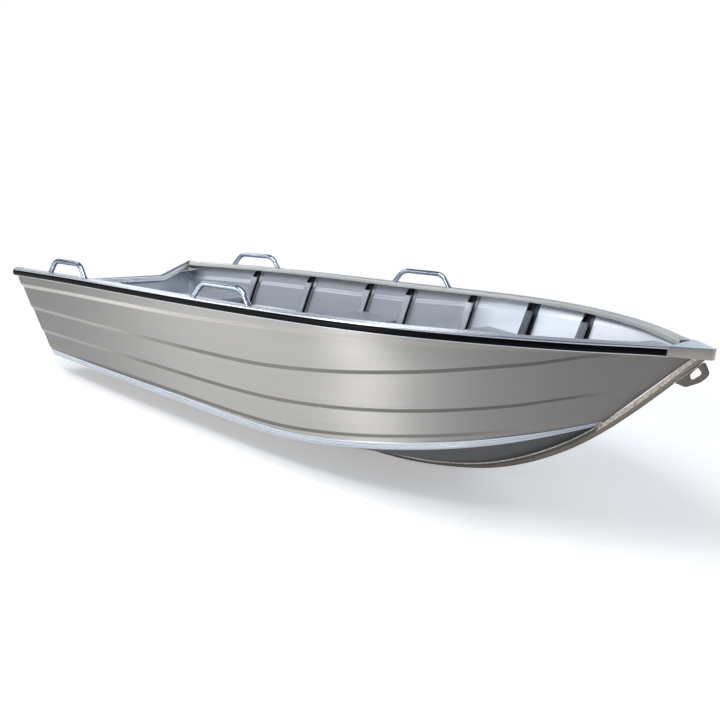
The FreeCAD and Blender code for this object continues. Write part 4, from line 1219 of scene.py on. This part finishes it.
softEdges = {"pad": 0.003, "runner": 0.0015}
softCopy("motor_pad", "motorPad", "trim", padPlastic, softEdges["pad"])
for word, tail, mirror in bothSides:
    softCopy("runner" + tail, "bottomRunner" + word, "hull", flatBar, softEdges["runner"])
print("cap, eye, knees, pad and runners made")


# Geometry Nodes: bent bar for the handles, rippled beads for the welds, round heads for rivets and bolts
def newTree(name, inputs):
    tree = bpy.data.node_groups.new(name, "GeometryNodeTree")
    tree.interface.new_socket(name="Geometry", in_out="INPUT", socket_type="NodeSocketGeometry")
    for label, kind, value in inputs:
        socket = tree.interface.new_socket(name=label, in_out="INPUT", socket_type=kind)
        if value is not None:
            socket.default_value = value
    tree.interface.new_socket(name="Geometry", in_out="OUTPUT", socket_type="NodeSocketGeometry")
    start = addNode(tree, "NodeGroupInput")
    return tree, start.outputs


def endTree(tree, geometry, material):
    flat = addNode(tree, "GeometryNodeRealizeInstances", {"Geometry": geometry})
    smooth = addNode(tree, "GeometryNodeSetShadeSmooth", {"Geometry": flat.outputs["Geometry"]})
    coat = addNode(tree, "GeometryNodeSetMaterial", {
        "Geometry": smooth.outputs["Geometry"], "Material": material})
    end = addNode(tree, "NodeGroupOutput")
    tree.links.new(coat.outputs["Geometry"], end.inputs[0])


def bentBarTree():
    tree, given = newTree("bentBar", [
        ("Radius", "NodeSocketFloat", 0.0125), ("Bend", "NodeSocketFloat", 0.042),
        ("Round Steps", "NodeSocketInt", 28), ("Bend Steps", "NodeSocketInt", 12),
        ("Finish", "NodeSocketMaterial", None)])
    curve = addNode(tree, "GeometryNodeMeshToCurve", {"Mesh": given["Geometry"]})
    bent = addNode(tree, "GeometryNodeFilletCurve", {
        "Curve": curve.outputs["Curve"], "Radius": given["Bend"], "Count": given["Bend Steps"]}, mode="POLY")
    ring = addNode(tree, "GeometryNodeCurvePrimitiveCircle", {
        "Resolution": given["Round Steps"], "Radius": given["Radius"]})
    tube = addNode(tree, "GeometryNodeCurveToMesh", {
        "Curve": bent.outputs["Curve"], "Profile Curve": ring.outputs["Curve"], "Fill Caps": True})
    endTree(tree, tube.outputs["Mesh"], given["Finish"])
    return tree


def weldBeadTree():
    tree, given = newTree("weldBead", [
        ("Spacing", "NodeSocketFloat", 0.0035), ("Width", "NodeSocketFloat", 0.0045),
        ("Unevenness", "NodeSocketFloat", 0.25), ("Seed", "NodeSocketInt", 4),
        ("Finish", "NodeSocketMaterial", None)])
    curve = addNode(tree, "GeometryNodeMeshToCurve", {"Mesh": given["Geometry"]})
    even = addNode(tree, "GeometryNodeResampleCurve", {
        "Curve": curve.outputs["Curve"], "Length": given["Spacing"]}, mode="LENGTH")
    drop = addNode(tree, "GeometryNodeMeshIcoSphere", {"Radius": 1.0, "Subdivisions": 1})
    direction = addNode(tree, "GeometryNodeInputTangent")
    turn = addNode(tree, "FunctionNodeAlignRotationToVector", {"Vector": direction.outputs["Tangent"]},
                   axis="X")
    smallest = addNode(tree, "ShaderNodeMath", {0: 1.0, 1: given["Unevenness"]}, operation="SUBTRACT")
    largest = addNode(tree, "ShaderNodeMath", {0: 1.0, 1: given["Unevenness"]}, operation="ADD")
    chance = addNode(tree, "FunctionNodeRandomValue", {
        2: smallest.outputs["Value"], 3: largest.outputs["Value"], "Seed": given["Seed"]}, data_type="FLOAT")
    wide = addNode(tree, "ShaderNodeMath", {0: chance.outputs[1], 1: given["Width"]}, operation="MULTIPLY")
    thin = addNode(tree, "ShaderNodeMath", {0: wide.outputs["Value"], 1: 0.62}, operation="MULTIPLY")
    scale = addNode(tree, "ShaderNodeCombineXYZ", {
        "X": thin.outputs["Value"], "Y": wide.outputs["Value"], "Z": wide.outputs["Value"]})
    beads = addNode(tree, "GeometryNodeInstanceOnPoints", {
        "Points": even.outputs["Curve"], "Instance": drop.outputs["Mesh"],
        "Rotation": turn.outputs["Rotation"], "Scale": scale.outputs["Vector"]})
    endTree(tree, beads.outputs["Instances"], given["Finish"])
    return tree


def runTree(tree, name, paths, values):
    # Runs a tree on open paths and keeps only the plain mesh it makes.
    points, edges = [], []
    for path in paths:
        base = len(points)
        points += [tuple(p) for p in path]
        edges += [(base + i, base + i + 1) for i in range(len(path) - 1)]
    mesh = bpy.data.meshes.new(name + "Path")
    mesh.from_pydata(points, edges, [])
    obj = addObject(name + "Path", mesh)
    modifier = obj.modifiers.new("nodes", "NODES")
    modifier.node_group = tree
    for item in tree.interface.items_tree:
        if item.in_out == "INPUT" and item.name in values:
            modifier[item.identifier] = values[item.name]
    return plainMesh(obj, name)


def roundHeadTree():
    tree, given = newTree("roundHeads", [
        ("Radius", "NodeSocketFloat", 0.004), ("Finish", "NodeSocketMaterial", None)])
    spots = addNode(tree, "GeometryNodeMeshToPoints", {"Mesh": given["Geometry"]})
    ball = addNode(tree, "GeometryNodeMeshUVSphere", {"Segments": 20, "Rings": 12, "Radius": given["Radius"]})
    heads = addNode(tree, "GeometryNodeInstanceOnPoints", {
        "Points": spots.outputs["Points"], "Instance": ball.outputs["Mesh"]})
    endTree(tree, heads.outputs["Instances"], given["Finish"])
    return tree


barTree = bentBarTree()
headTree = roundHeadTree()
beadTree = weldBeadTree()
handles = {  # station and span of each pair, then the shape they share
    "aft": (0.384, 0.347), "forward": (1.603, 0.364),
    "rise": 0.068, "splay": 0.052, "bend": 0.075, "radius": 0.0128, "sink": 0.001,
    "weldRing": (0.0148, 0.0135, 0.0018),  # half length, half width and height of the bead at each foot
}


def handlePath(station, span):
    # The bar's line: two feet in the middle of the rail and two bends above it.
    inward = gunwale["inset"] + gunwale["width"] / 2
    aft = sheerPoint(np.array(station - span / 2), -inward, 0)
    fore = sheerPoint(np.array(station + span / 2), -inward, 0)
    splay = unit(fore - aft) * handles["splay"]
    rise, sink = np.array([0, 0, handles["rise"]]), np.array([0, 0, handles["sink"]])
    return np.array([aft - sink, aft + splay + rise, fore - splay + rise, fore - sink])


weldPaths = []
for key in ("aft", "forward"):
    path = handlePath(*handles[key])
    for word, tail, mirror in bothSides:
        piece = runTree(barTree, "handleBar%s%s" % (key.capitalize(), word), [rowFrame(path, mirror)], {
            "Radius": handles["radius"], "Bend": handles["bend"], "Round Steps": 28, "Bend Steps": 12,
            "Finish": polishedBar})
        finishPiece(piece, "handles", "handle_" + key + tail)
        long, wide, high = handles["weldRing"]
        for foot in (path[0], path[3]):
            ring = [foot + (long * math.cos(a), wide * math.sin(a), high)
                    for a in np.linspace(0, 2 * math.pi, 25)]
            weldPaths.append(rowFrame(ring, mirror))
print("handles made")

# Welds: a broad bead beside the stem, seams at the keel, chine ends and stern corners, tacks at the frames
welds = {  # the three beads: spacing, width, unevenness and seed
    "seamWelds": (0.0025, 0.0041, 0.22, 7), "fineWelds": (0.0018, 0.0020, 0.25, 11),
    "tackWelds": (0.0018, 0.0024, 0.3, 3),
    "stemRows": (0.002, 0.0075, 0.013), "stemStagger": 0.01, "shortOfTop": 0.03, "keelFrom": 1.9,
    "outside": 0.0006, "steps": 90, "tackReach": 0.012, "tackLength": 0.007,
    # the cap's two tacks from end to end, off the rail's edge and height
    "capTacks": (((-0.013, 0.0015), (0.0002, -0.004)), ((-0.004, -0.033), (0.0002, -0.038))),
    "capTackSpan": (-0.003, 0.001),
}


def barSide(start, end, back, out):
    # Line on the side of the stem or keel bar, a given distance ahead of its back edge.
    u = np.linspace(start, end, welds["steps"])
    x, z = barPoint(u, barDepth(u) - back)
    return stack(x, keelHalf(u) + out, z)


seamPaths, tackPaths = [], []
capAft, capFore = (capStart + d for d in welds["capTackSpan"])
for word, tail, mirror in bothSides:
    for k, back in enumerate(welds["stemRows"]):
        stemLine = barSide(lowStem - welds["stemStagger"] * k, topStem - welds["shortOfTop"], back, 0.0002)
        seamPaths.append(rowFrame(stemLine, mirror))
    seamPaths.append(rowFrame(barSide(welds["keelFrom"], lowStem, 0.001, 0.0), mirror))
    weldPaths.append(rowFrame(sideSection(np.array([0.0]))[0], mirror))
    end = chineSections(np.array([chine["end"]]))[0]
    tackPaths.append(rowFrame([end[0], end[9], end[10]], mirror))
    half, top = float(sheerHalf(capStart)), float(sheerTop(capStart))
    for (aftOut, aftUp), (foreOut, foreUp) in welds["capTacks"]:
        tackPaths.append(rowFrame([(capAft, half + aftOut, top + aftUp),
                                   (capFore, half + foreOut, top + foreUp)], mirror))
    weldPaths.append(rowFrame([(x, eye["half"] + welds["outside"], z) for x, z in eye["foot"]], mirror))
    for x in frames["stations"]:
        foot = footLine(x, [9])[0]
        for side in (-1, 1):
            spot = np.array([x + side * welds["tackReach"], foot[0][0] - 0.003, foot[0][1] + 0.001])
            tackPaths.append(rowFrame([spot, spot + (welds["tackLength"], 0, 0.001)], mirror))
for name, paths in (("seamWelds", seamPaths), ("fineWelds", weldPaths), ("tackWelds", tackPaths)):
    spacing, width, unevenness, seed = welds[name]
    beads = runTree(beadTree, name, paths, {
        "Spacing": spacing, "Width": width, "Unevenness": unevenness, "Seed": seed, "Finish": weldMetal})
    finishPiece(beads, "hull")
print("welds made")

# Round heads: one rivet on each side of the bow cap, two bolts through the transom's capping
heads = {"rivet": 0.003, "rivetPlace": 0.010, "rivetDrop": 0.023, "bolt": 0.0045, "bolts": (0.0585, 0.0927),
         "boltHeight": 0.463}
rivetX = capStart + heads["rivetPlace"]
rivetHalf = float(sheerHalf(capStart)) + cap["overRail"]
rivetHalf += (cap["nose"] + cap["overRail"] - rivetHalf) * heads["rivetPlace"] / gunwale["capLength"]
rivetSpot = [(rivetX, rivetHalf, float(sheerTop(rivetX)) - heads["rivetDrop"])]
rivets = runTree(headTree, "capRivets", [rowFrame(rivetSpot, mirror) for _, _, mirror in bothSides], {
    "Radius": heads["rivet"], "Finish": boltSteel})
finishPiece(rivets, "trim")
boltX = float(transomAt(capping["level"])) - plateThick / 2 + capping["rail"] / 2
boltX += rake * (capping["level"] - heads["boltHeight"])
boltSpots = [rowFrame([(boltX, y, heads["boltHeight"])]) for y in heads["bolts"]]
bolts = runTree(headTree, "cappingBolts", boltSpots, {"Radius": heads["bolt"], "Finish": boltSteel})
finishPiece(bolts, "trim")

# Frame nodes that stay as they are, with their finish
for node, material in (("transom", transomPlate), ("drain_socket", foldedPlate)):
    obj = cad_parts[node]
    obj.data.materials.clear()
    obj.data.materials.append(material)


# Studio: pale floor, a white backdrop behind the boat, a dim room behind the camera, soft lamps
studio = {
    "floor": "#F4F4F3", "floorGlow": 0.34, "fadeStart": 2.0, "fadeEnd": 3.6,
    "floorReach": 30.0, "floorFront": -5.0, "floorGap": 0.0005,
    "behindBoat": (-0.70, 0.714, 0.0), "whiteEdge": 0.78, "roomEdge": 0.62, "whiteTop": 0.18,
    "roomFrom": 0.42, "roomUpper": "#8FA3BF", "roomLower": "#77777A", "roomLight": 0.40,
    "lamps": {  # place, aim, width and height in metres, power in watts
        "key": ((-0.3, -2.6, 4.8), (0.0, 0.0, 0.3), 3.0, 3.0, 180),
        "side": ((-0.8, -5.3, 0.9), (0.3, -0.8, 0.4), 2.0, 1.6, 150),
        "sternSide": ((-3.3, -3.6, 0.9), (0.3, -0.8, 0.4), 1.2, 1.6, 28),
        "aft": ((-4.6, 0.6, 3.4), (0.6, 0.3, 0.4), 1.6, 1.6, 35),
        "inside": ((-3.4, -1.1, 2.4), (0.9, 0.3, 0.5), 1.5, 1.5, 13),
        "back": ((1.5, 4.6, 3.8), (0.0, 0.2, 0.5), 3.0, 2.0, 60),
        "bow": ((5.0, 1.0, 2.6), (0.6, 0.0, 0.4), 1.6, 1.6, 35),
    },
}


def seenRay(tree, *kinds):
    # 1 for rays of these kinds, 0 for all others.
    path = addNode(tree, "ShaderNodeLightPath")
    seen = path.outputs[kinds[0]]
    for kind in kinds[1:]:
        more = addNode(tree, "ShaderNodeMath", {0: seen, 1: path.outputs[kind]}, operation="MAXIMUM")
        seen = more.outputs["Value"]
    return seen


def floorFinish():
    # Diffuse floor near the boat, so that it keeps the shadow, which fades to plain white further out.
    material = bpy.data.materials.new("paleFloor")
    material.use_nodes = True
    tree = material.node_tree
    tree.nodes.clear()
    place = addNode(tree, "ShaderNodeTexCoord").outputs["Object"]
    distance = addNode(tree, "ShaderNodeVectorMath", {0: place}, operation="LENGTH")
    far = addNode(tree, "ShaderNodeMapRange", {
        "Value": distance.outputs["Value"], "From Min": studio["fadeStart"], "From Max": studio["fadeEnd"]},
        interpolation_type="SMOOTHSTEP")
    paint = addNode(tree, "ShaderNodeBsdfDiffuse", {"Color": linear(studio["floor"])})
    seen = seenRay(tree, "Is Camera Ray", "Is Glossy Ray", "Is Transmission Ray")
    glow = addNode(tree, "ShaderNodeMath", {0: seen, 1: studio["floorGlow"]}, operation="MULTIPLY")
    lift = addNode(tree, "ShaderNodeEmission", {"Color": (1, 1, 1, 1), "Strength": glow.outputs["Value"]})
    near = addNode(tree, "ShaderNodeAddShader", {0: paint.outputs["BSDF"], 1: lift.outputs["Emission"]})
    white = addNode(tree, "ShaderNodeEmission", {"Color": (1, 1, 1, 1), "Strength": 1.0})
    mix = addNode(tree, "ShaderNodeMixShader", {0: far.outputs["Result"], 1: near.outputs["Shader"],
                                                2: white.outputs["Emission"]})
    addNode(tree, "ShaderNodeOutputMaterial", {"Surface": mix.outputs["Shader"]})
    return material


def buildWorld():
    # The eye always sees white. For reflections and light only the backdrop is white, and the rest of the
    # room is a soft blue-grey above and grey below.
    world = bpy.data.worlds.new("studioWorld")
    scene.world = world
    world.use_nodes = True
    tree = world.node_tree
    tree.nodes.clear()
    way = addNode(tree, "ShaderNodeTexCoord").outputs["Generated"]
    toward = addNode(tree, "ShaderNodeVectorMath", {0: way, 1: studio["behindBoat"]}, operation="DOT_PRODUCT")
    backdrop = addNode(tree, "ShaderNodeMapRange", {
        "Value": toward.outputs["Value"], "From Min": studio["roomEdge"], "From Max": studio["whiteEdge"]},
        interpolation_type="SMOOTHSTEP")
    height = addNode(tree, "ShaderNodeSeparateXYZ", {"Vector": way})
    low = addNode(tree, "ShaderNodeMapRange", {
        "Value": height.outputs["Z"], "From Min": studio["roomFrom"], "From Max": studio["whiteTop"]},
        interpolation_type="SMOOTHSTEP")
    backdrop = addNode(tree, "ShaderNodeMath", {0: backdrop.outputs["Result"], 1: low.outputs["Result"]},
                       operation="MULTIPLY")
    backdrop = addNode(tree, "ShaderNodeMath", {
        0: backdrop.outputs["Value"], 1: seenRay(tree, "Is Camera Ray")}, operation="MAXIMUM")
    above = addNode(tree, "ShaderNodeMapRange", {
        "Value": height.outputs["Z"], "From Min": -0.05, "From Max": 0.35}, interpolation_type="SMOOTHSTEP")
    room = addNode(tree, "ShaderNodeMix", {
        "Factor": above.outputs["Result"], 6: linear(studio["roomLower"]), 7: linear(studio["roomUpper"])},
        data_type="RGBA")
    dim = addNode(tree, "ShaderNodeBackground", {"Color": room.outputs[2], "Strength": studio["roomLight"]})
    white = addNode(tree, "ShaderNodeBackground", {"Color": (1, 1, 1, 1), "Strength": 1.0})
    mix = addNode(tree, "ShaderNodeMixShader", {0: backdrop.outputs["Value"], 1: dim.outputs["Background"],
                                                2: white.outputs["Background"]})
    addNode(tree, "ShaderNodeOutputWorld", {"Surface": mix.outputs["Shader"]})


def buildStudio():
    reach, front = studio["floorReach"], studio["floorFront"]
    mesh = bpy.data.meshes.new("studioFloor")
    mesh.from_pydata([(-reach, front, 0), (reach, front, 0), (reach, reach, 0), (-reach, reach, 0)], [],
                     [(0, 1, 2, 3)])
    mesh.materials.append(floorFinish())
    floor = addObject("studioFloor", mesh)
    floor.location.z = -studio["floorGap"]
    buildWorld()
    for name, (spot, aim, wide, high, power) in studio["lamps"].items():
        light = bpy.data.lights.new(name + "Lamp", "AREA")
        light.shape = "RECTANGLE"
        light.size = wide
        light.size_y = high
        light.energy = power
        lamp = addObject(name + "Lamp", light)
        lamp.location = spot
        lamp.rotation_euler = (Vector(aim) - Vector(spot)).to_track_quat("-Z", "Y").to_euler()


# The photograph's own viewpoint, found from the boat's outline: place from the transom's foot, and three axes
view = {"place": (4.6962, -3.7315, 1.5019), "right": (0.77205, 0.62612, 0.10913),
        "up": (-0.22398, 0.10735, 0.96866), "ahead": (-0.59478, 0.7723, -0.22312),
        "lens": 49.206, "sensor": 36, "farthest": 200}


def buildCamera():
    camera = bpy.data.cameras.new("photoCamera")
    camera.sensor_width = view["sensor"]
    camera.lens = view["lens"]
    camera.clip_end = view["farthest"]
    obj = addObject("photoCamera", camera)
    turn = Matrix((Vector(view["right"]), Vector(view["up"]), -Vector(view["ahead"]))).transposed()
    x, y, z = view["place"]
    obj.matrix_world = Matrix.Translation((x - shift, y, z)) @ turn.to_4x4()
    scene.camera = obj


buildStudio()
buildCamera()
scene.view_settings.view_transform = "Standard"
print("studio made")
